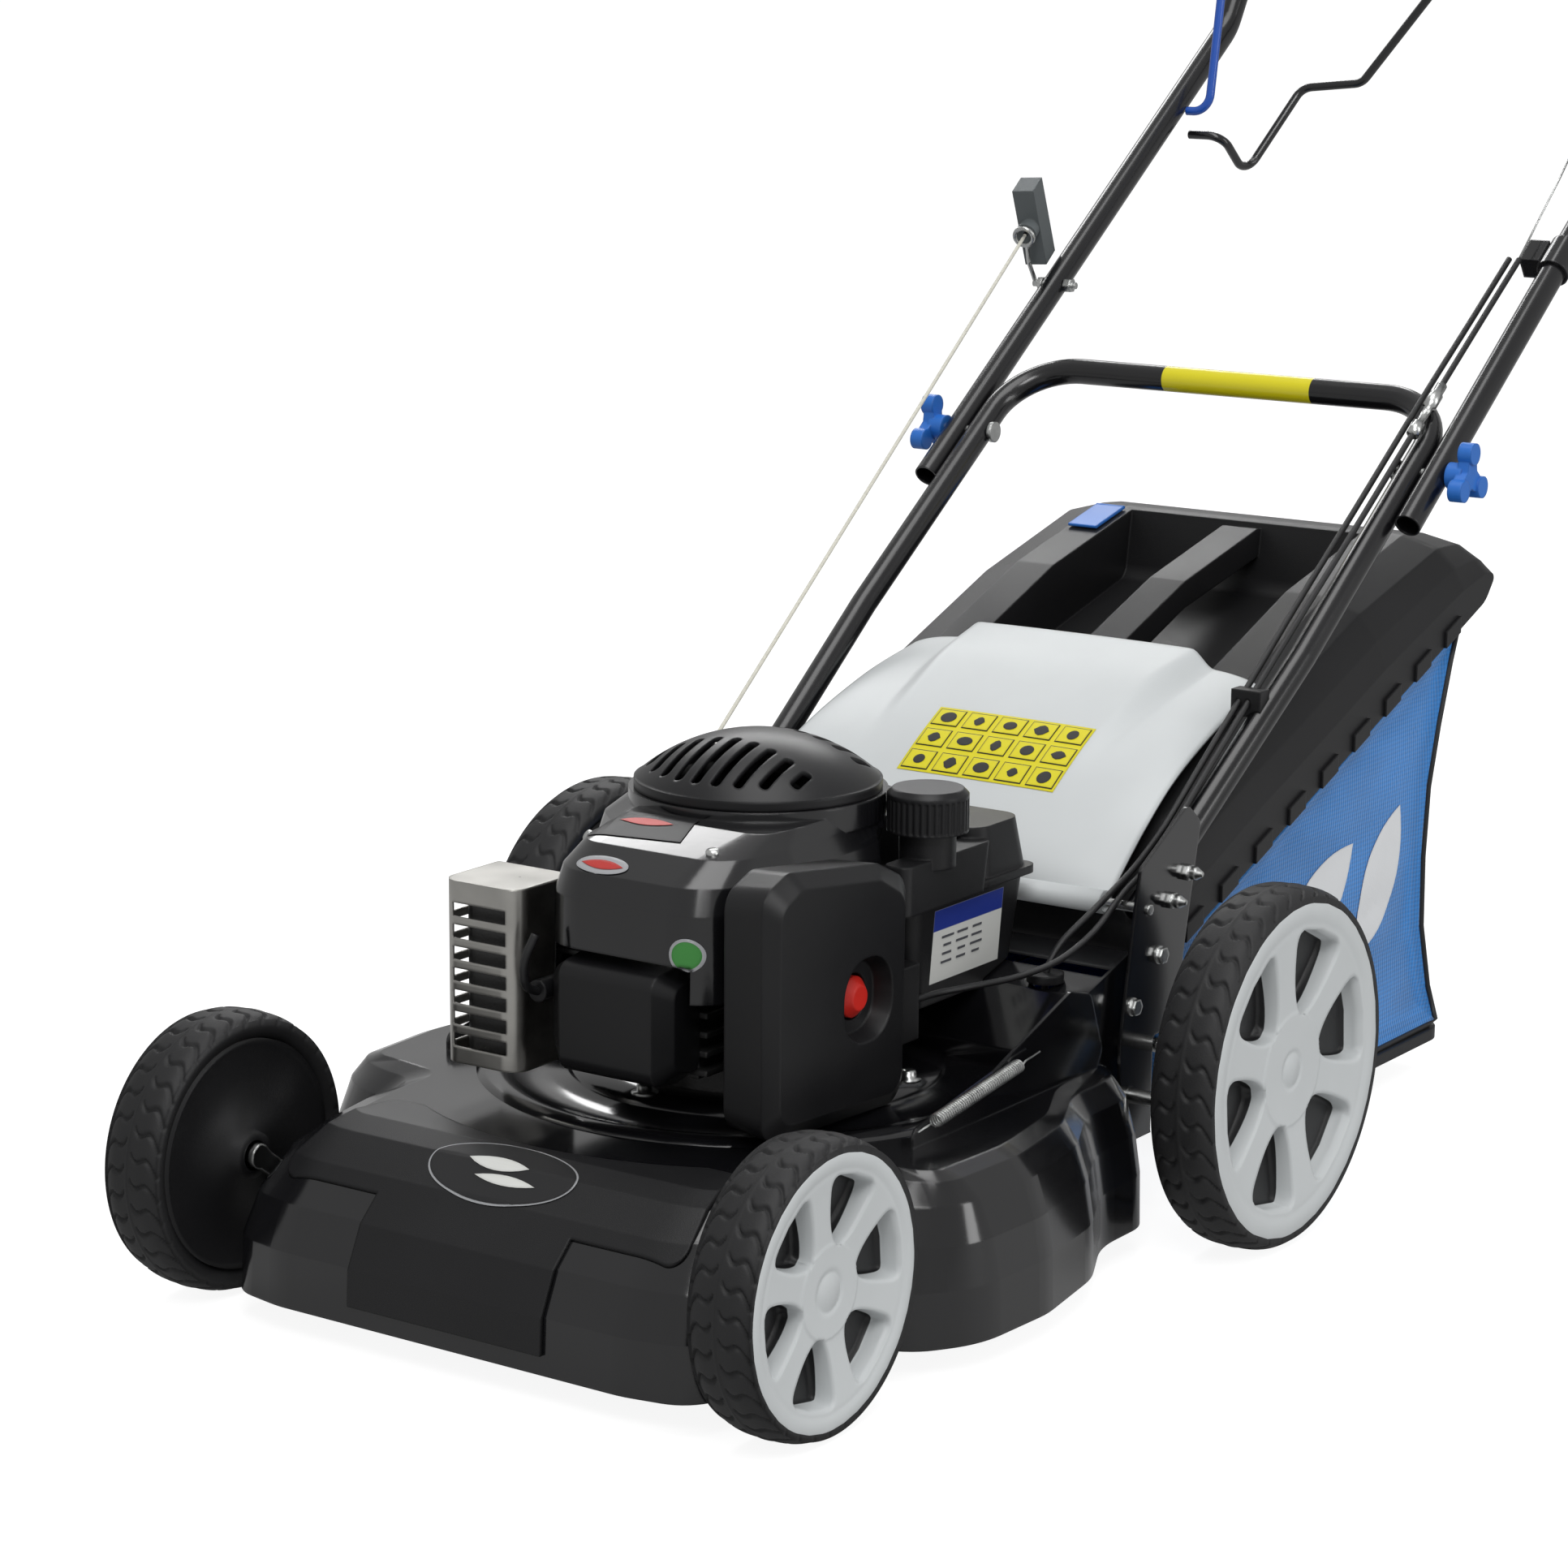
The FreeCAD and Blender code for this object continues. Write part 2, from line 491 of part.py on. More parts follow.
muffler = prism_z(rectangle(-126, -76, 116, 182), 10.0, 172, 288)
save("muffler", muffler.fuse(rod(5.5, (-90, 176, 226), (-58.2, 176, 226))))


def guard_form(inset):
    return prism_z(rectangle(-136 + inset, -68 - inset, 104 + inset, 190), 14.0, 164 + inset, 298 - inset)


guard = guard_form(0).cut(guard_form(1.5)).cut(box(-200, 0, 170, 300, 100, 320))
for k in range(7):
    z = 176 + 16.0 * k
    guard = guard.cut(box(-126, -78, 90, 112, z, z + 10)).cut(box(-150, -120, 116, 176, z, z + 10))
save("muffler_guard", guard)

AIR_OUT = 146.0
air = loft_x([(102.5, [(118, 150), (284, 140), (284, 300), (250, 318), (150, 330), (118, 318)], 18.0),
              (138, [(112, 146), (288, 138), (290, 302), (252, 320), (144, 334), (112, 322)], 20.0),
              (AIR_OUT, [(124, 158), (276, 150), (278, 292), (246, 310), (150, 322), (124, 310)], 16.0)])
PRIMER_Y, PRIMER_Z = 232.0, 226.0
air = air.cut(loft_x([(132, [(206, 200), (258, 200), (258, 252), (206, 252)], 25.0),
                      (150, [(200, 194), (264, 194), (264, 258), (200, 258)], 31.0)]))
air = air.cut(rod(17.0, (119.5, PRIMER_Y, PRIMER_Z), (150, PRIMER_Y, PRIMER_Z)))
save("air_filter_cover", air)
bulb = rod(15.0, (124, PRIMER_Y, PRIMER_Z), (133, PRIMER_Y, PRIMER_Z))
bulb = bulb.fuse(cone(15.0, 9.0, (133, PRIMER_Y, PRIMER_Z), (139, PRIMER_Y, PRIMER_Z)))
save("primer_bulb", bulb)
save("carburettor", prism_z(rectangle(104, 133, 292, 320), 4.0, 176, 232).fuse(box(86, 106, 300, 316, 190, 214)))

tank = [loft_z([(190, rectangle(28, 118, 330, 470), 14.0), (268, rectangle(22, 124, 322, 480), 14.0)]),
        loft_z([(268, rectangle(16, 130, 404, 486), 12.0), (274, rectangle(16, 130, 404, 486), 12.0)]),
        loft_z([(274, rectangle(20, 126, 408, 482), 16.0), (312, rectangle(24, 122, 410, 476), 18.0)]),
        loft_z([(268, rectangle(108, 132, 300, 410), 8.0), (304, rectangle(108, 130, 304, 420), 8.0)])]
tank.append(rod(21.0, (CAP_X, CAP_Y, 296), (CAP_X, CAP_Y, 322)))
tank = union(tank).cut(at_crank(100.0, 180, 330)).cut(chute_form(-1.5, 110.0, 500.0))
save("fuel_tank", tank)
cap = rod(30.0, (CAP_X, CAP_Y, 322.4), (CAP_X, CAP_Y, 350)).fuse(cone(30.0, 26.0, (CAP_X, CAP_Y, 350),
                                                                     (CAP_X, CAP_Y, 354)))
ribs = [rod(1.6, (CAP_X + 30.4 * math.cos(a), CAP_Y + 30.4 * math.sin(a), 324),
            (CAP_X + 30.4 * math.cos(a), CAP_Y + 30.4 * math.sin(a), 347))
        for a in (math.radians(10 * k) for k in range(36))]
save("fuel_cap", cap.cut(ribs))

PLUG_X, PLUG_Z = -55.5, 226.0
save("spark_plug", union([rod(5.5, (PLUG_X, 128, PLUG_Z), (PLUG_X, 145.8, PLUG_Z)),
                          hex_head(8.0, (PLUG_X, 136, PLUG_Z), (PLUG_X, 141, PLUG_Z)),
                          rod(8.0, (PLUG_X, 112, PLUG_Z), (PLUG_X, 132, PLUG_Z))]))
save("spark_lead", cable("spark_lead", [(PLUG_X, 112, PLUG_Z), (PLUG_X, 98, 232), (PLUG_X + 2, 94, 252),
                                        (PLUG_X + 6, 103, 270)], 3.2))

# ---- crankshaft, flywheel and blade turn together ----
shaft = union([at_crank(CRANK_R, 57, 300), at_crank(18.0, 100, 110)])
save("crankshaft", shaft)
flywheel = union([at_crank(76.0, 272, 286)] + [
    box(-2, 2, CRANK_Y + 30, CRANK_Y + 72, 286, 304).rotated(V(0, CRANK_Y, 0), Z, 30 * k) for k in range(12)])
save("flywheel", flywheel.cut(at_crank(CRANK_R, 260, 310)))
adapter = union([at_crank(30.0, 57, 66), at_crank(20.0, 66, 96)]).cut(at_crank(CRANK_R, 40, 120))
adapter = adapter.fuse(hex_head(12.0, (0, CRANK_Y, BLADE_Z - 10), (0, CRANK_Y, BLADE_Z)))
save("blade_adapter", Part.makeCompound(adapter.Solids))
blade = prism_z([(-BLADE_R, CRANK_Y - 22), (BLADE_R, CRANK_Y - 26), (BLADE_R, CRANK_Y + 22),
                 (-BLADE_R, CRANK_Y + 26)], 5.0, BLADE_Z, BLADE_Z + 4)
lift = plate_x([(CRANK_Y + 8, BLADE_Z + 3), (CRANK_Y + 22, BLADE_Z + 15), (CRANK_Y + 24, BLADE_Z + 12),
                (CRANK_Y + 12, BLADE_Z + 1)], 0.5, 120.0, BLADE_R - 3)
blade = union([blade, lift, lift.rotated(V(0, CRANK_Y, 0), Z, 180)])
save("blade", blade)

# ---- discharge flap and grass bag ----
def flap_slab(top, x):
    under = [(y + 1.2, z - 3.6) for y, z in reversed(top[1:])]
    return plate_x(top + under + [(top[0][0] + 4, top[0][1] - 4)], 1.0, -x, x)


flap = flap_slab([(498, 244), (520, 272), (600, 328), (690, 364), (764, 380)], 186.0)
flap = flap.common(prism_z([(-180, 480), (180, 480), (164, 790), (-164, 790)], 5.0, 200, 430))
for y0, x0, lift in ((560, 64, 5.0), (586, 54, 10.0), (612, 46, 15.0)):
    panel = flap_slab([(520, 272 + lift), (600, 328 + lift), (690, 364 + lift), (762, 380 + lift)], 186.0)
    panel = panel.fuse(panel.translated(V(0, 0, -3.0))).fuse(panel.translated(V(0, 0, -5.6)))
    side = 116 - 0.7 * lift
    flap = flap.fuse(panel.common(prism_z([(-x0, y0), (x0, y0), (side, 700), (side, 762), (-side, 762),
                                           (-side, 700)], 40.0, 200, 430)))
barrel = rod(9.0, (-176, HINGE_Y, HINGE_Z), (176, HINGE_Y, HINGE_Z))
flap = union([flap, barrel]).cut(rod(3.95 + FIT, (-210, HINGE_Y, HINGE_Z), (210, HINGE_Y, HINGE_Z)))
save("rear_flap", flap)

RIM_FRONT, RIM_REAR = (530.0, 196.0), (1062.0, 398.0)


def lid_section(height, drop):
    """Lid outline in (y, z); height scales its crown above the rim."""
    top = [(528, 236), (600, 302), (690, 344), (770, 372), (900, 422), (1040, 456), (1086, 452), (1102, 430)]
    rim_z = lambda y: RIM_FRONT[1] + (y - RIM_FRONT[0]) * (RIM_REAR[1] - RIM_FRONT[1]) / (RIM_REAR[0] - RIM_FRONT[0])
    crown = [(y, rim_z(y) + (z - rim_z(y)) * height - drop) for y, z in top]
    return [(y + drop, z) for y, z in crown[:1]] + crown[1:-1] + [(crown[-1][0] - drop, crown[-1][1])] + [
        (1084.0 - drop, rim_z(1084.0) - 8 - drop), (528.0 + drop, rim_z(528.0) - 8 - drop)]


def lid_form(drop):
    half = BAG_HALF + 6 - drop
    crowns = [(-half, 0.36), (-half + 9, 0.62), (-half + 26, 0.86), (-half + 58, 1.0)]
    crowns += [(-x, height) for x, height in reversed(crowns)]
    return loft_x([(x, lid_section(height, drop), 30.0) for x, height in crowns])


def well(grow):
    outline = [(726 - grow, 470), (1034 + grow, 470), (1022 + grow, 396 - grow), (742 - grow, 322 - grow)]
    return plate_x(outline, 16.0, -112 - grow, 112 + grow)


bar_outline = [(720, 346), (725, 357), (900, 421), (1024, 450), (1038, 448), (1038, 428), (900, 398), (736, 336)]
bar = plate_x(bar_outline, 4.0, -17.0, 17.0)
lid = lid_form(0).cut(well(0)).cut(lid_form(3).cut(well(3))).fuse(bar)
save("bag_lid", union([lid]))

fabric_side = [(548, 190), (1056, 384), (1004, 250), (1000, 130), (1042, 34), (700, 34), (600, 80)]


def fabric_form(inset):
    corners = [(548 + 2 * inset, 190 - inset), (1056 - 2 * inset, 384 - inset), (1004 - inset, 250),
               (1000 - inset, 130), (1036 - inset, 36 + inset), (700 + inset, 36 + inset), (600 + inset, 80 + inset)]
    return loft_x([(-BAG_HALF + inset, corners, 12.0), (0, corners, 12.0), (BAG_HALF - inset, corners, 12.0)])


inside = fabric_form(3)
fabric = fabric_form(0).cut(inside).cut(inside.translated(V(0, 0, 6)))
fabric = fabric.cut(box(-170, 170, 520, 640, 96, 300))
save("bag_fabric", fabric)
base = prism_z(rectangle(-BAG_HALF - 5, BAG_HALF + 5, 690, 1046), 30.0, 26, 35.6)
save("bag_base", base)
indicator_outline = [(980, 442.6), (1028, 454.2), (1027.4, 456.7), (979.4, 445.1)]
save("fill_indicator", plate_x(indicator_outline, 0.8, -146.0, -118.0).fuse(
    rod(1.6, (-146, 1028, 455.6), (-118, 1028, 455.6))))

# ---- height spring and cables ----
spring_start, spring_end = V(216, 190, 152), V(214.5, 352, 172)
save("height_spring", rod(5.5, tuple(spring_start), tuple(spring_end)))


def above_upper(x, y, lift):
    return (x, y, upper_z(y) + lift)


brake_route = [above_upper(206, 1120, 22), above_upper(204, 1050, 22), above_upper(203, 985, 23),
                (202, 920, leg_z(920) + 23), (200, 850, leg_z(850) + 21), (198, 780, leg_z(780) + 21),
                (196, 720, leg_z(720) + 20), (195, 664, leg_z(664) + 19), (194, 620, leg_z(620) + 18),
                (194, 575, leg_z(575) + 18), (193, 538, leg_z(538) + 19), (192, 505, 256), (189, 470, 232),
                (179, 436, 215), (160, 408, 206), (140, 375, 203), (129, 345, 203), (127, 320.2, 203)]
brake_cable = cable("brake_cable", brake_route, 2.5)
save("brake_cable", brake_cable)
drive_route = [above_upper(197, 1120, 22), above_upper(195, 1050, 22), above_upper(193, 985, 23),
                (192, 920, leg_z(920) + 23), (190, 850, leg_z(850) + 21), (188.5, 780, leg_z(780) + 21),
                (188, 720, leg_z(720) + 20), (187, 664, leg_z(664) + 19), (186.5, 620, leg_z(620) + 18),
                (186.5, 570, leg_z(570) + 18), (186, 530, 268), (184, 502, 256), (177, 476, 240),
                (168, 455, 224), (165, 440, 206), (165, 440, 188)]
drive_cable = cable("drive_cable", drive_route, 2.5)
save("drive_cable", drive_cable)
save("deck_grommet", grommet.cut(drive_cable))

clip = box(181, 207, 684, 698, leg_z(691) + 4, leg_z(691) + 25)
clip = clip.cut([rod(TUBE_R, tuple(lower_points[-2]), tuple(lower_points[-1])), brake_cable, drive_cable])
save("cable_clip", max(clip.Solids, key=lambda solid: solid.Volume))
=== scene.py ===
import math

import bmesh
import bpy
from mathutils import Matrix, Vector, noise
from mathutils.bvhtree import BVHTree


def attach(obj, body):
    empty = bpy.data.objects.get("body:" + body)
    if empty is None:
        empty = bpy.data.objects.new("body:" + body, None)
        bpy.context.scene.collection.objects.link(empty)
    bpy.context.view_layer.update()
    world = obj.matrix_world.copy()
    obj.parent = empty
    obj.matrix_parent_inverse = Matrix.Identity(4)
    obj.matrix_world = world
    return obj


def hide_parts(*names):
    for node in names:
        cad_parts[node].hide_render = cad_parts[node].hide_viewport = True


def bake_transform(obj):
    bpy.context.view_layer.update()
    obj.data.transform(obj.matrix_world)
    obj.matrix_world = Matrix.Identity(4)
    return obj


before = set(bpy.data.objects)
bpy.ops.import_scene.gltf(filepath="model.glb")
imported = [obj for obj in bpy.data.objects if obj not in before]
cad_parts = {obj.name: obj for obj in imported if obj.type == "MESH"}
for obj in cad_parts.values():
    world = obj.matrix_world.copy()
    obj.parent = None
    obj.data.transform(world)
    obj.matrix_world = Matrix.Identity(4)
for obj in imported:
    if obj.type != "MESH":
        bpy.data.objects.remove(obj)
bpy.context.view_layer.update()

# The frame's row origin is the middle of the mower on the ground.  Lengths below are in
# millimetres with y = 0 at the front axle, as the mower was measured; at() turns them into metres.
AXLE_Y = -684.5
WHEELBASE = 525.0
FRONT_R, REAR_R = 102.0, 137.0          # wheel radii over the tread
FRONT_OUT, REAR_OUT = 278.0, 334.0      # outer faces of the wheels, from the middle plane
FRONT_WIDTH, REAR_WIDTH = 50.0, 52.0
CRANK_Y = 303.0                         # engine crankshaft
DECK_Z = 137.0                          # top of the deck round the engine


def at(x, y, z):
    """A point given in millimetres from the front axle, as metres in the row frame."""
    return Vector((x, y + AXLE_Y, z)) / 1000.0


# ---- camera ----
CAMERA_AT = (1696.0, -2107.0, 997.0)
AZIMUTH, ELEVATION, ROLL = (math.radians(a) for a in (34.77, 12.39, 0.43))
LENS = 94.94

forward = Vector((-math.sin(AZIMUTH) * math.cos(ELEVATION), math.cos(AZIMUTH) * math.cos(ELEVATION),
                  -math.sin(ELEVATION)))
level = Vector((math.cos(AZIMUTH), math.sin(AZIMUTH), 0.0))
above = level.cross(forward)
right = math.cos(ROLL) * level + math.sin(ROLL) * above
up = -math.sin(ROLL) * level + math.cos(ROLL) * above
camera_data = bpy.data.cameras.new("camera")
camera_data.lens = LENS
camera_data.sensor_width = 36.0
camera_data.clip_end = 300.0
camera = bpy.data.objects.new("camera", camera_data)
turn = Matrix((right, up, -forward)).transposed()
camera.matrix_world = Matrix.Translation(at(*CAMERA_AT)) @ turn.to_4x4()
bpy.context.collection.objects.link(camera)
bpy.context.scene.camera = camera


# ---- materials ----
def srgb(red, green, blue):
    """A display colour, 0 to 255, as the linear colour that a shader takes."""
    def linear(c):
        c = c / 255.0
        return c / 12.92 if c < 0.04045 else ((c + 0.055) / 1.055) ** 2.4
    return (linear(red), linear(green), linear(blue), 1.0)


EDGE_RADIUS = 0.0025                    # softened edge seen on every hard piece, in metres
PRINT_EDGE = 0.0003                     # blur at the border of a printed area, in metres


class Surface:
    """A Principled material built from procedural nodes on object coordinates."""

    def __init__(self, name, colour, rough=0.5, metal=0.0, coat=0.0, sheen=0.0):
        self.material = bpy.data.materials.new(name)
        self.material.use_nodes = True
        self.nodes = self.material.node_tree.nodes
        self.links = self.material.node_tree.links
        self.shader = self.nodes["Principled BSDF"]
        self.shader.inputs["Metallic"].default_value = metal
        self.shader.inputs["Roughness"].default_value = rough
        self.shader.inputs["Coat Weight"].default_value = coat
        self.shader.inputs["Coat Roughness"].default_value = 0.12
        self.shader.inputs["Sheen Weight"].default_value = sheen
        self.colour = colour
        self.rough = rough
        self.coords = self.nodes.new("ShaderNodeTexCoord").outputs["Object"]
        self.paint = None

    def node(self, kind, **values):
        """A new node; each value sets a property of the node or, failing that, one of its sockets."""
        made = self.nodes.new(kind)
        for key, value in values.items():
            if hasattr(made, key):
                setattr(made, key, value)
            else:
                made.inputs[key.replace("_", " ")].default_value = value
        return made

    def noise(self, scale, detail=3.0, stretch=None):
        """Noise over the piece, stretched along its axes if asked."""
        source = self.coords
        if stretch:
            mapping = self.node("ShaderNodeMapping")
            mapping.inputs["Scale"].default_value = stretch
            self.links.new(source, mapping.inputs["Vector"])
            source = mapping.outputs["Vector"]
        made = self.node("ShaderNodeTexNoise", Scale=scale, Detail=detail)
        self.links.new(source, made.inputs["Vector"])
        return made.outputs["Fac"]

    def vary(self, amount=0.12, scale=9.0, rough_amount=0.06):
        """Broad soft change of tone and gloss."""
        fac = self.noise(scale)
        ramp = self.node("ShaderNodeValToRGB")
        dark = tuple(c * (1.0 - amount) for c in self.colour[:3]) + (1.0,)
        pale = tuple(min(1.0, c * (1.0 + amount)) for c in self.colour[:3]) + (1.0,)
        ramp.color_ramp.elements[0].position = 0.3
        ramp.color_ramp.elements[1].position = 0.7
        ramp.color_ramp.elements[0].color = dark
        ramp.color_ramp.elements[1].color = pale
        self.links.new(fac, ramp.inputs["Fac"])
        self.paint = ramp.outputs["Color"]
        spread = self.node("ShaderNodeMapRange")
        spread.inputs["To Min"].default_value = max(0.02, self.rough - rough_amount)
        spread.inputs["To Max"].default_value = min(1.0, self.rough + rough_amount)
        self.links.new(fac, spread.inputs["Value"])
        self.links.new(spread.outputs["Result"], self.shader.inputs["Roughness"])
        return self

    def grain(self, scale, strength, distance=0.0004, stretch=None):
        """Fine relief over edges that are softened a little."""
        soft_edge = self.node("ShaderNodeBevel", samples=4, Radius=EDGE_RADIUS)
        bump = self.node("ShaderNodeBump", Strength=strength, Distance=distance)
        self.links.new(soft_edge.outputs["Normal"], bump.inputs["Normal"])
        self.links.new(self.noise(scale, 2.0, stretch), bump.inputs["Height"])
        self.links.new(bump.outputs["Normal"], self.shader.inputs["Normal"])
        return self

    def inside(self, low, high):
        """1 inside a box of the row frame, 0 outside it."""
        split = self.node("ShaderNodeSeparateXYZ")
        self.links.new(self.coords, split.inputs["Vector"])
        total = None
        for axis in range(3):
            for sign, limit in ((1.0, low[axis]), (-1.0, high[axis])):
                step = self.node("ShaderNodeMapRange")
                step.inputs["From Min"].default_value = limit - sign * PRINT_EDGE
                step.inputs["From Max"].default_value = limit + sign * PRINT_EDGE
                self.links.new(split.outputs[axis], step.inputs["Value"])
                if total is None:
                    total = step.outputs["Result"]
                    continue
                times = self.node("ShaderNodeMath", operation="MULTIPLY")
                self.links.new(total, times.inputs[0])
                self.links.new(step.outputs["Result"], times.inputs[1])
                total = times.outputs["Value"]
        return total

    def patch(self, low, high, colour):
        """A flat printed area: everything inside the box takes the colour."""
        mix = self.node("ShaderNodeMix", data_type="RGBA")
        self.links.new(self.inside(low, high), mix.inputs["Factor"])
        self.links.new(self.paint, mix.inputs["A"])
        mix.inputs["B"].default_value = colour
        self.paint = mix.outputs["Result"]
        return self

    def done(self):
        self.links.new(self.paint, self.shader.inputs["Base Color"])
        return self.material


def surface(name, colour, rough=0.5, metal=0.0, coat=0.0, sheen=0.0, amount=0.12, scale=9.0,
            grain=(900.0, 0.15), distance=0.0004, stretch=None, specular=0.5):
    made = Surface(name, colour, rough, metal, coat, sheen).vary(amount, scale)
    made.shader.inputs["Specular IOR Level"].default_value = specular
    return made.grain(grain[0], grain[1], distance, stretch)


def ink(name, colour, rough=0.5, metal=0.0, amount=0.02):
    return surface(name, colour, rough, metal, amount=amount, grain=(500.0, 0.03)).done()


GREY = srgb(212, 216, 217)
BLACK_GLOSS = (0.005, 0.005, 0.006, 1.0)
BLACK_BADGE = (0.006, 0.006, 0.007, 1.0)
BLACK_MATT = (0.009, 0.009, 0.010, 1.0)
BLACK_RUBBER = (0.012, 0.012, 0.013, 1.0)
BLACK_TYRE = (0.013, 0.013, 0.014, 1.0)
BLACK_FOAM = (0.018, 0.018, 0.019, 1.0)
BLACK_PRINT = (0.02, 0.02, 0.02, 1.0)
STEEL = (0.52, 0.51, 0.48, 1.0)
ZINC = (0.62, 0.63, 0.62, 1.0)
CAST_ALLOY = (0.10, 0.10, 0.10, 1.0)
SILVER = (0.55, 0.56, 0.58, 1.0)
YELLOW = srgb(232, 220, 24)
LABEL_BLUE = srgb(38, 58, 150)
LABEL_WHITE = srgb(225, 226, 222)
WINDOW_SHADE_DEPTH = 16.5                     # painted shade: the discs are painted black this far behind their outer face, on the floors of the windows


def disc_plastic(name, outer):
    """Pale grey wheel disc, with painted shade: black on everything deeper than the walls of its windows,
    standing for the dark seen through the holes of the disc.
    """
    made = surface(name, GREY, 0.42, amount=0.03, grain=(700.0, 0.10))
    plane = outer - WINDOW_SHADE_DEPTH
    # The black box is painted shade on the window floors, not the disc's own colour.
    return made.patch(at(-plane, -300, -10), at(plane, 900, 400), BLACK_RUBBER).done()


front_disc = disc_plastic("front_disc", FRONT_OUT)
rear_disc = disc_plastic("rear_disc", REAR_OUT)
gloss_black = surface("gloss_black", BLACK_GLOSS, 0.16, coat=0.7, amount=0.25, grain=(160.0, 0.05)).done()
tube_black = surface("tube_black", BLACK_GLOSS, 0.24, coat=0.5, amount=0.2, grain=(300.0, 0.06)).done()
matt_black = surface("matt_black", BLACK_MATT, 0.42, amount=0.15, grain=(1400.0, 0.3), specular=0.4).done()
fine_black = surface("fine_black", BLACK_MATT, 0.34, amount=0.15, grain=(1800.0, 0.15), specular=0.4).done()
tyre_black = surface("tyre_black", BLACK_TYRE, 0.58, amount=0.2, scale=24.0, grain=(900.0, 0.3)).done()
foam_black = surface("foam_black", BLACK_FOAM, 0.85, sheen=0.2, grain=(1100.0, 0.8), distance=0.001).done()
rubber = surface("rubber", BLACK_RUBBER, 0.38, grain=(600.0, 0.1)).done()
zinc = surface("zinc", ZINC, 0.24, 1.0, amount=0.15, scale=60.0, grain=(500.0, 0.08)).done()
cast = surface("cast", CAST_ALLOY, 0.48, 0.9, amount=0.2, grain=(500.0, 0.5)).done()
bare_steel = surface("bare_steel", STEEL, 0.30, 1.0, amount=0.10, scale=30.0, grain=(60.0, 0.1),
                     stretch=(1.0, 1.0, 14.0)).done()
grip_grey = surface("grip_grey", srgb(98, 104, 106), 0.55, amount=0.06, grain=(1000.0, 0.3)).done()
badge_black = surface("badge_black", BLACK_BADGE, 0.45, amount=0.1, grain=(40.0, 0.02)).done()
bag_white = surface("bag_white", srgb(236, 238, 240), 0.7, amount=0.02, grain=(900.0, 0.3)).done()
blue_plastic = surface("blue_plastic", srgb(44, 116, 208), 0.38, amount=0.05, grain=(800.0, 0.12)).done()
blue_paint = surface("blue_paint", srgb(22, 84, 186), 0.22, coat=0.6, amount=0.05, grain=(200.0, 0.05)).done()
red_rubber = surface("red_rubber", srgb(216, 40, 30), 0.35, amount=0.05, grain=(500.0, 0.05)).done()
rope_cream = surface("rope_cream", srgb(218, 216, 203), 0.8, sheen=0.3, amount=0.1, scale=300.0,
                     grain=(700.0, 0.6)).done()
print_white = ink("print_white", LABEL_WHITE)
print_grey = ink("print_grey", srgb(90, 92, 98))
print_black = ink("print_black", BLACK_PRINT, 0.45, amount=0.1)
print_red = ink("print_red", srgb(190, 50, 44), 0.4, amount=0.03)
yellow_print = ink("yellow_print", YELLOW, 0.4)
silver_print = ink("silver_print", SILVER, 0.3, 0.6, amount=0.05)
green_print = ink("green_print", srgb(70, 150, 70), 0.4, amount=0.05)

tank = surface("tank_plastic", BLACK_MATT, 0.42, amount=0.15, grain=(1400.0, 0.3), specular=0.4)
tank.patch(at(112, 352, 206), at(132, 446, 262), LABEL_WHITE)
tank.patch(at(112, 352, 246), at(132, 446, 262), LABEL_BLUE)
tank_plastic = tank.done()

u_bar = surface("u_bar_paint", BLACK_GLOSS, 0.24, coat=0.5, amount=0.2, grain=(300.0, 0.06))
u_bar.patch(at(-62, 980, 560), at(80, 1020, 600), YELLOW)
u_bar_paint = u_bar.done()

flap_plastic = surface("flap_plastic", GREY, 0.42, amount=0.03, grain=(700.0, 0.10)).done()


def weave_material():
    """Blue bag cloth: crossed waves along the three axes, so that no side needs its own mapping."""
    made = Surface("bag_cloth", srgb(46, 134, 214), 0.75, sheen=0.4).vary(0.08, 14.0)
    height = None
    for direction in ((1.0, 0.0, 0.0), (0.0, 1.0, 0.0), (0.0, 0.0, 1.0)):
        wave = made.node("ShaderNodeTexWave", wave_type="BANDS", Scale=170.0, Distortion=0.4)
        mapping = made.node("ShaderNodeMapping")
        mapping.inputs["Scale"].default_value = direction
        made.links.new(made.coords, mapping.inputs["Vector"])
        wave.bands_direction = "DIAGONAL"
        made.links.new(mapping.outputs["Vector"], wave.inputs["Vector"])
        if height is None:
            height = wave.outputs["Fac"]
            continue
        add = made.node("ShaderNodeMath", operation="ADD")
        made.links.new(height, add.inputs[0])
        made.links.new(wave.outputs["Fac"], add.inputs[1])
        height = add.outputs["Value"]
    bump = made.node("ShaderNodeBump", Strength=0.5, Distance=0.0006)
    made.links.new(height, bump.inputs["Height"])
    made.links.new(bump.outputs["Normal"], made.shader.inputs["Normal"])
    shade = made.node("ShaderNodeMapRange")
    shade.inputs["From Max"].default_value = 3.0
    shade.inputs["To Min"].default_value = 0.72
    shade.inputs["To Max"].default_value = 1.15
    made.links.new(height, shade.inputs["Value"])
    mix = made.node("ShaderNodeMix", data_type="RGBA", blend_type="MULTIPLY")
    mix.inputs["Factor"].default_value = 1.0
    made.links.new(made.paint, mix.inputs["A"])
    made.links.new(shade.outputs["Result"], mix.inputs["B"])
    made.paint = mix.outputs["Result"]
    return made.done()


bag_cloth = weave_material()

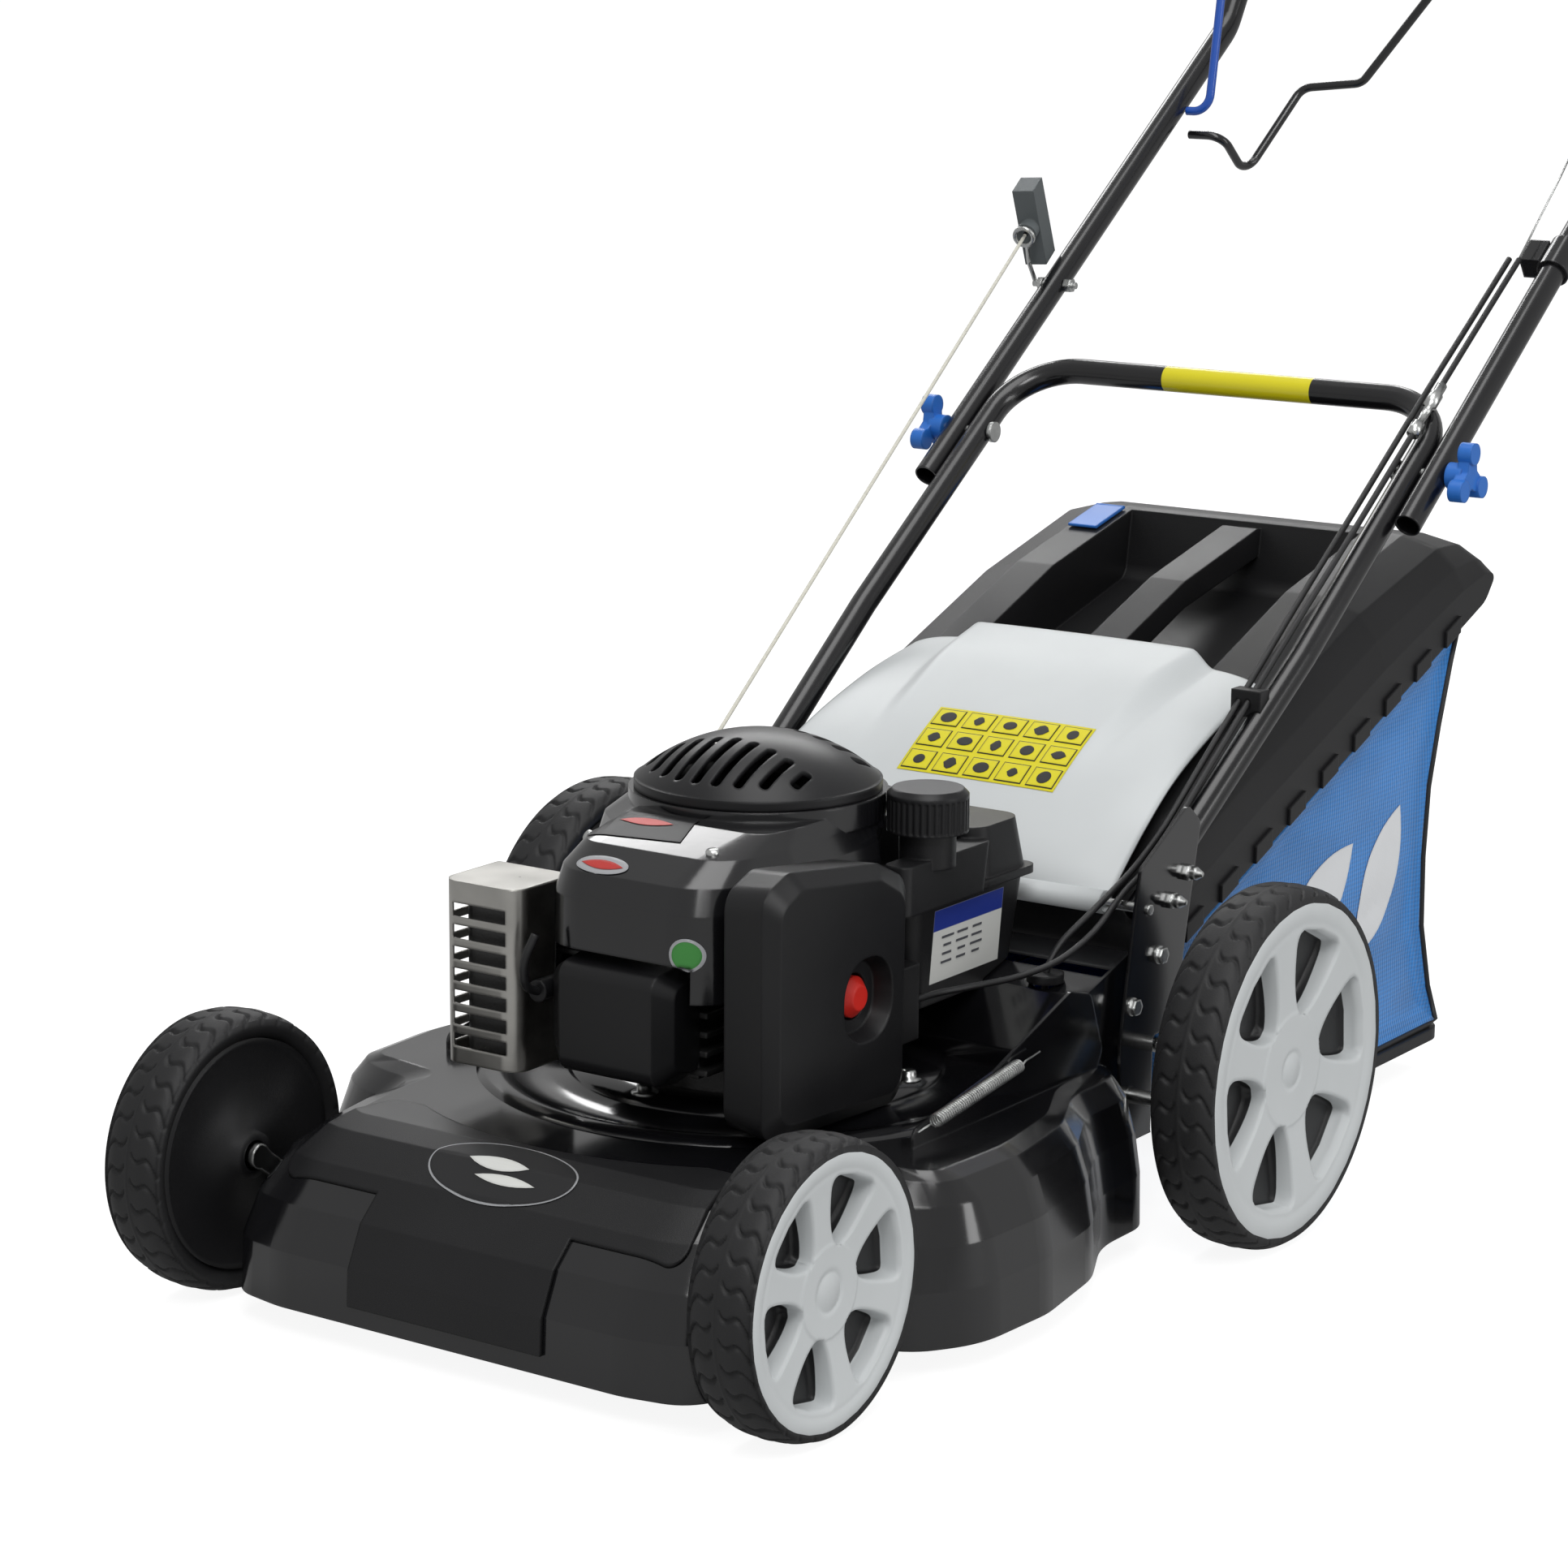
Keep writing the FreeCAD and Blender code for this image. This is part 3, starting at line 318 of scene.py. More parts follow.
NODE_MATERIALS = {
    front_disc: ["front_left_disc", "front_right_disc"],
    rear_disc: ["rear_left_disc", "rear_right_disc"],
    flap_plastic: ["rear_flap"],
    gloss_black: ["deck", "side_plate_left", "side_plate_right", "cable_bracket", "drive_bail",
                  "blower_housing"],
    tube_black: ["upper_handle"],
    u_bar_paint: ["lower_handle"],
    matt_black: ["nose_cover", "bag_lid", "bag_base", "gearbox", "carburettor"],
    fine_black: ["air_filter_cover", "fuel_cap", "spark_plug", "valve_cover", "starter_grille"],
    bare_steel: ["muffler_guard"],
    grip_grey: ["starter_grip"],
    tank_plastic: ["fuel_tank"],
    foam_black: ["foam_grip"],
    rubber: ["deck_grommet", "cable_clip", "brake_cable", "drive_cable", "spark_lead"],
    zinc: ["front_axle", "rear_axle", "flap_hinge_rod", "chassis_fasteners", "handle_bolts", "rope_guide",
           "crankshaft", "blade_adapter", "blade"],
    cast: ["engine_block", "flywheel", "muffler"],
    blue_plastic: ["left_knob", "right_knob", "height_lever", "fill_indicator"],
    blue_paint: ["brake_bail"],
    red_rubber: ["primer_bulb"],
    rope_cream: ["starter_rope"],
    tyre_black: ["front_left_tyre", "front_right_tyre", "rear_left_tyre", "rear_right_tyre"],
    bag_cloth: ["bag_fabric"],
}
for material, names in NODE_MATERIALS.items():
    for name in names:
        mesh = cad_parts[name].data
        mesh.materials.clear()
        mesh.materials.append(material)


# ---- mesh helpers ----
def new_object(name, mesh, material, body):
    """A piece with one material.  It rides on body; without one, it is left unattached."""
    item = bpy.data.objects.new(name, mesh)
    bpy.context.collection.objects.link(item)
    mesh.materials.append(material)
    if body:
        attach(item, body)
    return item


def grid_mesh(name, rows, close_rows=False, close_columns=False):
    """Quads through rows of points; smooth shaded."""
    count, width = len(rows), len(rows[0])
    points = [p for row in rows for p in row]
    faces = []
    for i in range(count if close_rows else count - 1):
        for j in range(width if close_columns else width - 1):
            a, b = i * width + j, i * width + (j + 1) % width
            c, d = ((i + 1) % count) * width + (j + 1) % width, ((i + 1) % count) * width + j
            faces.append((a, b, c, d))
    mesh = bpy.data.meshes.new(name)
    mesh.from_pydata([tuple(p) for p in points], [], faces)
    mesh.validate()
    mesh.polygons.foreach_set("use_smooth", [True] * len(mesh.polygons))
    return mesh


def tube(name, points, radius, material, body, sides=12, closed=False):
    """A round bar along points in metres, with flat ends closed."""
    rows = []
    count = len(points)
    side = None
    for i, point in enumerate(points):
        back = points[i - 1] if i > 0 or closed else point
        ahead = points[(i + 1) % count] if i < count - 1 or closed else point
        along = (ahead - back).normalized()
        if side is None:
            side = along.cross(Vector((0.31, 0.17, 0.94))).normalized()
        side = (side - along * side.dot(along)).normalized()
        other = along.cross(side)
        rows.append([point + radius * (math.cos(a) * side + math.sin(a) * other)
                     for a in (2 * math.pi * k / sides for k in range(sides))])
    mesh = grid_mesh(name, rows, close_rows=closed, close_columns=True)
    if not closed:
        build = bmesh.new()
        build.from_mesh(mesh)
        build.verts.ensure_lookup_table()
        build.faces.new([build.verts[k] for k in range(sides)])
        build.faces.new([build.verts[(count - 1) * sides + k] for k in range(sides)][::-1])
        bmesh.ops.recalc_face_normals(build, faces=build.faces)
        build.to_mesh(mesh)
        build.free()
    return new_object(name, mesh, material, body)


def lathe(name, profile, centre, axis, material, body, sides=48):
    """Turned piece: profile of (radius, distance along the axis) in mm, centre in metres."""
    axis = axis.normalized()
    side = axis.cross(Vector((0.3, 0.2, 0.9))).normalized()
    other = axis.cross(side)
    rows = [[centre + (r * (math.cos(a) * side + math.sin(a) * other) + d * axis) / 1000.0
             for a in (2 * math.pi * k / sides for k in range(sides))] for r, d in profile]
    return new_object(name, grid_mesh(name, rows, close_columns=True), material, body)


def plate(name, corners, thickness, normal, material, body):
    """A thin flat label or badge through corners in metres."""
    build = bmesh.new()
    low = [build.verts.new(c) for c in corners]
    high = [build.verts.new(c + normal * thickness / 1000.0) for c in corners]
    build.faces.new(low[::-1])
    build.faces.new(high)
    for i in range(len(corners)):
        j = (i + 1) % len(corners)
        build.faces.new((low[i], low[j], high[j], high[i]))
    bmesh.ops.recalc_face_normals(build, faces=build.faces)
    mesh = bpy.data.meshes.new(name)
    build.to_mesh(mesh)
    build.free()
    return new_object(name, mesh, material, body)


def smooth_step(value):
    value = max(0.0, min(1.0, value))
    return value * value * (3.0 - 2.0 * value)


# ---- tyres with their tread ----
GROOVE_DEPTH, GROOVE_HALF = 2.4, 1.5
SAMPLES_PER_LUG = 16
FRONT_LUGS, REAR_LUGS = 34, 40
TREAD_STEPS = 44                        # quads across the tread
RIB_HALF, PLAIN_HALF = 0.05, 0.09       # centre rib and the plain band beside it, as shares of half the tread
BEAD_SHARE = 0.94                       # bead radius over the tyre's


def groove_depth(theta, u, lugs, radius):
    """Depth in mm at an angle and a place u across the tread, -1 to 1."""
    across = abs(u)
    step = 2 * math.pi / lugs
    if across < PLAIN_HALF:
        return -0.5 * smooth_step(1.0 - across / RIB_HALF)
    offset = step * (1.15 * across + 0.30 * math.sin(2 * math.pi * across))
    if u < 0:
        offset += 0.5 * step
    phase = (theta - offset) / step
    distance = abs(phase - round(phase)) * step * radius
    fade = smooth_step((across - PLAIN_HALF) / 0.08)
    return GROOVE_DEPTH * fade * smooth_step(1.6 - distance / GROOVE_HALF)


def tyre(wheel, side, outer, width, radius, y, lugs):
    """A tyre with waved side grooves, in place of the plain one."""
    inner = outer - width
    middle = (inner + outer) / 2
    half = width / 2 - 2.0
    bead = radius * BEAD_SHARE
    count = lugs * SAMPLES_PER_LUG
    across = [-1 + 2 * k / TREAD_STEPS for k in range(TREAD_STEPS + 1)]
    rows = []
    for k in range(count):
        theta = 2 * math.pi * k / count
        ring = [(bead - 12, inner + 5), (bead - 5, inner + 1.2), (bead + 1.5, inner + 0.8)]
        for u in across:
            crown = radius - 0.6 - 5.4 * abs(u) ** 4
            ring.append((crown - groove_depth(theta, u, lugs, radius), middle + u * half))
        ring += [(bead + 1.5, outer - 0.8), (bead - 5, outer - 1.2), (bead - 12, outer - 7)]
        rows.append([at(side * x, y + r * math.cos(theta), radius + r * math.sin(theta)) for r, x in ring])
    mesh = grid_mesh(wheel + "_tread", rows, close_rows=True, close_columns=True)
    item = new_object(wheel + "_tread", mesh, tyre_black, wheel + "_wheel")
    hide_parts(wheel + "_tyre")


for label, side in (("left", 1), ("right", -1)):
    tyre("front_" + label, side, FRONT_OUT, FRONT_WIDTH, FRONT_R, 0.0, FRONT_LUGS)
    tyre("rear_" + label, side, REAR_OUT, REAR_WIDTH, REAR_R, WHEELBASE, REAR_LUGS)

# ---- wheel discs ----
WINDOWS = 6
WINDOW_TURN = math.radians(12.0)
WINDOW_HALF = math.radians(20.5)        # half angle of a window at its rim end
WINDOW_LOW, WINDOW_HIGH = 0.33, 0.84    # hub and rim ends of a window, as shares of the disc's radius
WINDOW_DEPTH, WINDOW_WALL = 17.0, 3.6
WINDOW_ROWS = (0.0, 0.01, 0.03, 0.06, 0.1, 0.16, 0.24, 0.34, 0.46, 0.58, 0.7, 0.8, 0.87, 0.92, 0.95, 0.975,
               1.0)
WALL_LINES = (0.0, 0.8, 1.8, 2.8, 3.6, 6.0)
SPOKE_LINES = (0.1, 0.35, 0.65, 0.9)
HUB_OPENING = 0.2                       # angle that a window's lines spread over inside the hub
HUB_CAP_R = 14.0
DISH = 5.0                              # how far the hub sits behind the rim
HUB_GROOVE, FACE_STEP = 0.8, 0.9
RIM_ROLL, RIM_EDGE = 0.6, 4.0           # how far the disc's edge turns back


def window_half_width(r, low, high, corner):
    """Half the width of a petal-shaped window at radius r, in mm."""
    share = max(0.0, min(1.0, (r - low) / (high - low)))
    near_rim = max(0.0, (r - (high - corner)) / corner)
    rounding = 1.0 - 0.22 * (1.0 - math.sqrt(max(0.0, 1.0 - near_rim * near_rim)))
    return high * math.sin(WINDOW_HALF) * share ** 0.55 * rounding


def lines_across(half):
    """Places across a window, closer together on its walls, from one side to the other."""
    side = [min(0.0, -half + min(s, 0.5 * half * s / 6.0 + 0.5 * s)) for s in WALL_LINES]
    return side + [0.0] + [-d for d in reversed(side)]


def disc_row(r, edge):
    """Angles and depths behind the rim round the disc at radius r."""
    low, high = WINDOW_LOW * edge, WINDOW_HIGH * edge
    half = window_half_width(r, low, high, 0.10 * edge)
    plain = DISH * (1.0 - min(1.0, r / high) ** 2)
    if HUB_CAP_R - 1.5 < r < HUB_CAP_R + 0.5:
        plain += HUB_GROOVE
    if 0.34 * edge < r < 0.893 * edge:
        plain += FACE_STEP
    opening = math.asin(min(0.9, half / r)) if r > low else HUB_OPENING
    gap = math.pi / WINDOWS - opening
    across = lines_across(half)
    row = []
    for k in range(WINDOWS):
        middle = WINDOW_TURN + 2 * math.pi * k / WINDOWS
        for place, d in enumerate(across):
            if r > low:
                inside = min(half - abs(d), r - low, high - r)
                angle = math.asin(max(-0.9, min(0.9, d / r)))
                row.append((middle + angle, WINDOW_DEPTH * smooth_step(inside / WINDOW_WALL) + plain))
            else:
                row.append((middle + opening * (2 * place / (len(across) - 1) - 1), plain))
        row += [(middle + opening + 2 * gap * share, plain) for share in SPOKE_LINES]
    return row


def wheel_disc(wheel, side, outer, width, radius, y, material):
    """Spoked face and black back of one wheel, in place of its plain disc."""
    edge = radius * BEAD_SHARE - 2.0
    low, high = WINDOW_LOW * edge, WINDOW_HIGH * edge
    hub = [0.1, HUB_CAP_R - 2, HUB_CAP_R - 1, HUB_CAP_R, HUB_CAP_R + 1, HUB_CAP_R + 4, low - 1.0]
    spokes = [low + share * (high - low) for share in WINDOW_ROWS]
    rim = [high + 2.0, 0.885 * edge, 0.90 * edge, edge - 1.2]
    radii = [(r, 0.0) for r in hub + spokes + rim] + [(edge, RIM_ROLL), (edge, RIM_EDGE)]
    rows = [[at(side * (outer - 1.0 - depth - back), y + r * math.cos(a), radius + r * math.sin(a))
             for a, depth in disc_row(r, edge)] for r, back in radii]
    face = new_object(wheel + "_face", grid_mesh(wheel + "_face", rows, close_columns=True), material,
                      wheel + "_wheel")
    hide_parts(wheel + "_disc")
    inner = outer - width
    seat = radius * BEAD_SHARE - 12.5
    profile = ((11, inner - 4), (17, inner - 4), (18, inner + 3), (seat - 4, inner + 4.5), (seat, inner + 2),
               (seat, outer - 6), (seat - 2.5, outer - 6.5), (seat - 3, inner + 9), (18, inner + 8),
               (11, inner + 8))
    lathe(wheel + "_back", profile, at(0, y, radius), Vector((side, 0, 0)), matt_black, wheel + "_wheel",
          64)


for label, side in (("left", 1), ("right", -1)):
    wheel_disc("front_" + label, side, FRONT_OUT, FRONT_WIDTH, FRONT_R, 0.0, front_disc)
    wheel_disc("rear_" + label, side, REAR_OUT, REAR_WIDTH, REAR_R, WHEELBASE, rear_disc)

# ---- height spring ----
SPRING_START, SPRING_END = Vector((216, 190, 152)), Vector((214.5, 352, 172))
SPRING_TURNS, STEPS_PER_TURN = 42, 12
COIL_R, COIL_FROM, COIL_LENGTH = 4.6, 22.0, 112.0
WIRE_R = 0.0008


def spring_line():
    """Straight end, coil and straight end of the spring, in metres."""
    along = (SPRING_END - SPRING_START).normalized()
    flat = along.cross(Vector((1, 0, 0))).normalized()
    steep = along.cross(flat)
    count = SPRING_TURNS * STEPS_PER_TURN
    line = [SPRING_START, SPRING_START + along * 16]
    for k in range(count + 1):
        angle = 2 * math.pi * k / STEPS_PER_TURN
        place = SPRING_START + along * (COIL_FROM + COIL_LENGTH * k / count)
        line.append(place + COIL_R * (math.cos(angle) * flat + math.sin(angle) * steep))
    line += [SPRING_END - along * 20, SPRING_END]
    return [at(*point) for point in line]


spring = tube("spring_coil", spring_line(), WIRE_R, zinc, "chassis", sides=6)
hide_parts("height_spring")

# ---- discharge flap ----
HINGE = (506.0, 246.0)
FLAP_LINE = ((502, 250), (520, 272), (600, 326), (690, 362), (764, 380))
FLAP_HALF_FRONT, FLAP_HALF_REAR = 180.0, 164.0
PANEL_HALF_FRONT, PANEL_HALF_REAR = 100.0, 122.0
PANEL_LIFT, PANEL_SLOPE = 14.0, 22.0
PANEL_START, PANEL_RUN = 560.0, 170.0   # where the panel starts to rise, and how long it takes
SIDE_DROP, CROWN = 9.0, 2.0
FLAP_ROWS, FLAP_COLUMNS = 48, 96


def spline(points, count):
    """A smooth line through points of (y, z), by Catmull-Rom."""
    ends = [points[0], *points, points[-1]]
    line = []
    for k in range(count + 1):
        place = min(k / count * (len(points) - 1), len(points) - 1.001)
        i, t = int(place), place - int(place)
        p0, p1, p2, p3 = ends[i:i + 4]
        line.append([0.5 * (2 * b + (c - a) * t + (2 * a - 5 * b + 4 * c - d) * t * t
                            + (3 * b - a - 3 * c + d) * t ** 3) for a, b, c, d in zip(p0, p1, p2, p3)])
    return line


def flap_rows():
    """Points over the flap's top: a raised middle panel fading towards the hinge, and turned-down sides."""
    rows = []
    for y, z in spline(FLAP_LINE, FLAP_ROWS):
        share = (y - FLAP_LINE[0][0]) / (FLAP_LINE[-1][0] - FLAP_LINE[0][0])
        half = FLAP_HALF_FRONT + (FLAP_HALF_REAR - FLAP_HALF_FRONT) * share
        panel = PANEL_HALF_FRONT + (PANEL_HALF_REAR - PANEL_HALF_FRONT) * share
        rise = PANEL_LIFT * smooth_step((y - PANEL_START) / PANEL_RUN)
        row = []
        for k in range(FLAP_COLUMNS + 1):
            u = 2 * k / FLAP_COLUMNS - 1
            step = smooth_step((panel - abs(u) * half) / PANEL_SLOPE)
            row.append(at(u * half, y, z + rise * step - SIDE_DROP * abs(u) ** 8 - CROWN * u * u))
        rows.append(row)
    return rows


flap = new_object("flap_panel", grid_mesh("flap_panel", flap_rows()), flap_plastic, "flap")
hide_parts("rear_flap")
flap_skin = flap.modifiers.new("flap_thickness", "SOLIDIFY")
flap_skin.thickness = 0.0035
flap_skin.offset = -1.0
tube("flap_barrel", [at(-176, *HINGE), at(176, *HINGE)], 0.009, flap_plastic, "flap", 24)


# ---- cords along the handle ----
def cord_copy(name, node, material):
    """A copy of a cord's own mesh, not attached to any body, that stands for the CAD node."""
    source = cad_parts[node]
    mesh = source.data.copy()
    mesh.transform(source.matrix_world)
    mesh.materials.clear()
    mesh.materials.append(material)
    item = bpy.data.objects.new(name, mesh)
    bpy.context.collection.objects.link(item)
    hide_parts(node)
    return item


for node in ("brake_cable", "drive_cable"):
    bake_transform(cord_copy(node + "_sheath", node, rubber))

# The starter rope is straight from the engine to the eye on the handle; a short end runs on above the eye
# towards the grip.
ROPE_OUTLET, ROPE_EYE = at(-84, 352, 352), at(-244, 1056, 684)
ROPE_STEPS, ROPE_BEND_FROM = 40, 24
ROPE_R, ROPE_TAIL_R = 0.0016, 0.0015
pull = (ROPE_EYE - ROPE_OUTLET).normalized()
rope_span = [ROPE_OUTLET + (ROPE_EYE - ROPE_OUTLET) * k / ROPE_STEPS for k in range(ROPE_STEPS + 1)]
rope = tube("rope_to_guide", rope_span, ROPE_R, rope_cream, None, 10)
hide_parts("starter_rope")
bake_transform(rope)
tail_start, tail_end = ROPE_EYE - pull * 0.006, ROPE_EYE + pull * 0.003
rope_tail = tube("rope_to_grip", [tail_start, ROPE_EYE, tail_end], ROPE_TAIL_R, rope_cream, None, 10)
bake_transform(rope_tail)

# ---- cloth of the grass bag ----
BAG_HALF = 199.0
BAG_CENTRE = Vector((0.0, 850.0, 170.0))
BAG_OUTLINE = ((552, 188), (640, 220), (760, 266), (900, 320), (1046, 376), (1036, 352), (1018, 300),
               (1004, 250), (999, 190), (1001, 130), (1018, 74), (1036, 40), (1020, 37), (900, 36.5),
               (780, 36.5), (705, 37), (650, 58), (603, 82), (580, 128))      # side view, (y, z)
OUTLINE_STEPS = 6                       # points along each side of the outline
SIDE_RINGS, BODY_RINGS = 14, 24
MOUTH_HALF, MOUTH_BACK, MOUTH_FLOOR = 165.0, 604.0, 98.0
CLOTH_THICKNESS = 0.0015


def side_ring(side, share, outline):
    """One ring of a side panel, drawn in towards the panel's middle; the cloth hangs in slack folds there."""
    shrink = 1.0 - share ** 1.3
    slack = smooth_step((1.0 - shrink) * 6.0)
    x = side * (BAG_HALF - 1.5)
    points = []
    for y, z in outline:
        py = BAG_CENTRE.y + (y - BAG_CENTRE.y) * shrink
        pz = BAG_CENTRE.z + (z - BAG_CENTRE.z) * shrink
        fold = noise.noise(Vector((x * 0.006, py * 0.007, pz * 0.016)))
        crease = noise.noise(Vector((py * 0.004 + pz * 0.020, pz * 0.006 - py * 0.015, x * 0.01)))
        points.append(at(x + side * slack * (3.2 * fold + 2.2 * abs(crease) - 4.5), py, pz))
    return points


def body_ring(share, outline):
    """One ring of the cloth between the two side panels, dipping inwards half way across."""
    x = -BAG_HALF + 2 * BAG_HALF * share
    dip = 2.0 * math.sin(math.pi * share)
    points = []
    for y, z in outline:
        wave = 1.6 * noise.noise(Vector((x * 0.012, y * 0.01, z * 0.02)))
        away = Vector((0, y - BAG_CENTRE.y, z - BAG_CENTRE.z)).normalized()
        points.append(at(x, y, z) - away * (dip + wave) / 1000.0)
    return points


def bag_mesh():
    outline = []
    for k, (y0, z0) in enumerate(BAG_OUTLINE):
        y1, z1 = BAG_OUTLINE[(k + 1) % len(BAG_OUTLINE)]
        shares = [step / OUTLINE_STEPS for step in range(OUTLINE_STEPS)]
        outline += [(y0 + (y1 - y0) * t, z0 + (z1 - z0) * t) for t in shares]
    inwards = [k / (SIDE_RINGS + 1.0) for k in range(1, SIDE_RINGS + 1)]
    rings = [side_ring(-1, share, outline) for share in reversed(inwards)]
    rings += [body_ring(k / BODY_RINGS, outline) for k in range(BODY_RINGS + 1)]
    rings += [side_ring(1, share, outline) for share in inwards]
    mesh = grid_mesh("bag_shell", rings, close_columns=True)
    build = bmesh.new()
    build.from_mesh(mesh)
    build.verts.ensure_lookup_table()
    width = len(outline)
    last = (len(rings) - 1) * width
    build.faces.new([build.verts[k] for k in range(width)])
    build.faces.new([build.verts[last + k] for k in range(width)][::-1])
    mouth = []
    for face in build.faces:
        middle = face.calc_center_median() * 1000.0
        if abs(middle.x) < MOUTH_HALF and middle.y - AXLE_Y < MOUTH_BACK and MOUTH_FLOOR < middle.z:
            mouth.append(face)
    bmesh.ops.delete(build, geom=mouth, context="FACES")
    bmesh.ops.recalc_face_normals(build, faces=build.faces)
    build.to_mesh(mesh)
    build.free()
    return mesh


bag = new_object("bag_shell", bag_mesh(), bag_cloth, "grass_bag")
for polygon in bag.data.polygons:
    polygon.use_smooth = True
shell = bag.modifiers.new("cloth_thickness", "SOLIDIFY")
shell.thickness = CLOTH_THICKNESS
shell.offset = -1.0
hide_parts("bag_fabric")
for label, side in (("left", 1), ("right", -1)):
    rim = [at(side * (BAG_HALF - 1.0), y, z) for y, z in BAG_OUTLINE[4:16]]
    tube("bag_piping_" + label, rim, 0.0028, rubber, "grass_bag", sides=8)


# ---- printed marks laid on the surfaces ----
DOWN, FROM_LEFT, FROM_RIGHT, FROM_FRONT = (0, 0, -1), (-1, 0, 0), (1, 0, 0), (0, 1, 0)
PRINT_THICKNESS = 0.00015
RAY_BACK, RAY_REACH = 0.05, 0.12        # a print is looked for from this far off, over this distance


def flat(centre, half_across, half_up):
    return centre, half_across, half_up, "flat"


def oval(centre, half_across, half_up):
    return centre, half_across, half_up, "oval"


def leaf(centre, half_across, half_up):
    return centre, half_across, half_up, "leaf"


def shaped(a, b, kind):
    """A place in the square from -1 to 1, moved into the outline of an oval or a leaf."""
    if kind == "oval":
        return a * math.sqrt(1 - b * b / 2), b * math.sqrt(1 - a * a / 2)
    if kind == "leaf":
        return a, b * (1 - a * a)
    return a, b


def surface_tree(item):
    mesh = item.data
    return BVHTree.FromPolygons([v.co for v in mesh.vertices], [list(p.vertices) for p in mesh.polygons])


def decal(name, patches, item, direction, lift, material, body, cells=6):
    """Thin prints that follow a piece.  A patch is flat(), oval() or leaf() in millimetres; it is pushed
    along direction until it meets the piece, and then lifted off it by lift, in millimetres."""
    tree = surface_tree(item)
    direction = Vector(direction)
    points, faces = [], []
    for centre, half_across, half_up, kind in patches:
        base = len(points)
        for i in range(cells + 1):
            for j in range(cells + 1):
                a, b = shaped(2 * i / cells - 1, 2 * j / cells - 1, kind)
                spot = at(*(Vector(centre) + a * Vector(half_across) + b * Vector(half_up)))
                place, normal, _, _ = tree.ray_cast(spot - direction * RAY_BACK, direction, RAY_REACH)
                if place is None:
                    place, normal = spot, -direction
                if normal.dot(direction) > 0:
                    normal = -normal
                points.append(place + normal * lift / 1000.0)
        for i in range(cells):
            for j in range(cells):
                a = base + i * (cells + 1) + j
                faces.append((a, a + cells + 1, a + cells + 2, a + 1))
    mesh = bpy.data.meshes.new(name)
    mesh.from_pydata([tuple(q) for q in points], [], faces)
    mesh.validate()
    build = bmesh.new()
    build.from_mesh(mesh)
    build.normal_update()
    for face in build.faces:
        if face.normal.dot(direction) > 0:
            face.normal_flip()
    build.to_mesh(mesh)
    build.free()
    made = new_object(name, mesh, material, body)
    shell = made.modifiers.new("print_thickness", "SOLIDIFY")
    shell.thickness = PRINT_THICKNESS
    shell.offset = 1.0


# yellow sticker on the flap: a grid of cells, each with a plain sign
STICKER_X, STICKER_Y, STICKER_Z = (-54.0, 90.0), (570.0, 634.0), 340.0
STICKER_COLUMNS, STICKER_ROWS = 5, 3
sticker_width, sticker_height = STICKER_X[1] - STICKER_X[0], STICKER_Y[1] - STICKER_Y[0]
sheet_centre = (sum(STICKER_X) / 2, sum(STICKER_Y) / 2, STICKER_Z)
sheet = [flat(sheet_centre, (sticker_width / 2, 0, 0), (0, sticker_height / 2, 0))]
outer_cells, inner_cells, signs = [], [], []
for i in range(STICKER_COLUMNS):
    for j in range(STICKER_ROWS):
        centre = (STICKER_X[0] + sticker_width * (i + 0.5) / STICKER_COLUMNS,
                  STICKER_Y[0] + sticker_height * (j + 0.5) / STICKER_ROWS, STICKER_Z)
        sign = (oval, leaf)[(i + j) % 2]
        outer_cells.append(flat(centre, (12.2, 0, 0), (0, 8.6, 0)))
        inner_cells.append(flat(centre, (11.4, 0, 0), (0, 7.8, 0)))
        signs.append(sign(centre, (5.0 + (i + j) % 3, 0, 0), (0, 4.2 + (2 * i + j) % 3 * 0.6, 0)))
for name, patches, lift, material, cells in (("flap_sticker", sheet, 0.3, yellow_print, 12),
                                             ("flap_sticker_lines", outer_cells, 0.6, print_black, 2),
                                             ("flap_sticker_cells", inner_cells, 0.9, yellow_print, 2),
                                             ("flap_sticker_signs", signs, 1.2, print_black, 4)):
    decal(name, patches, flap, DOWN, lift, material, "flap", cells)

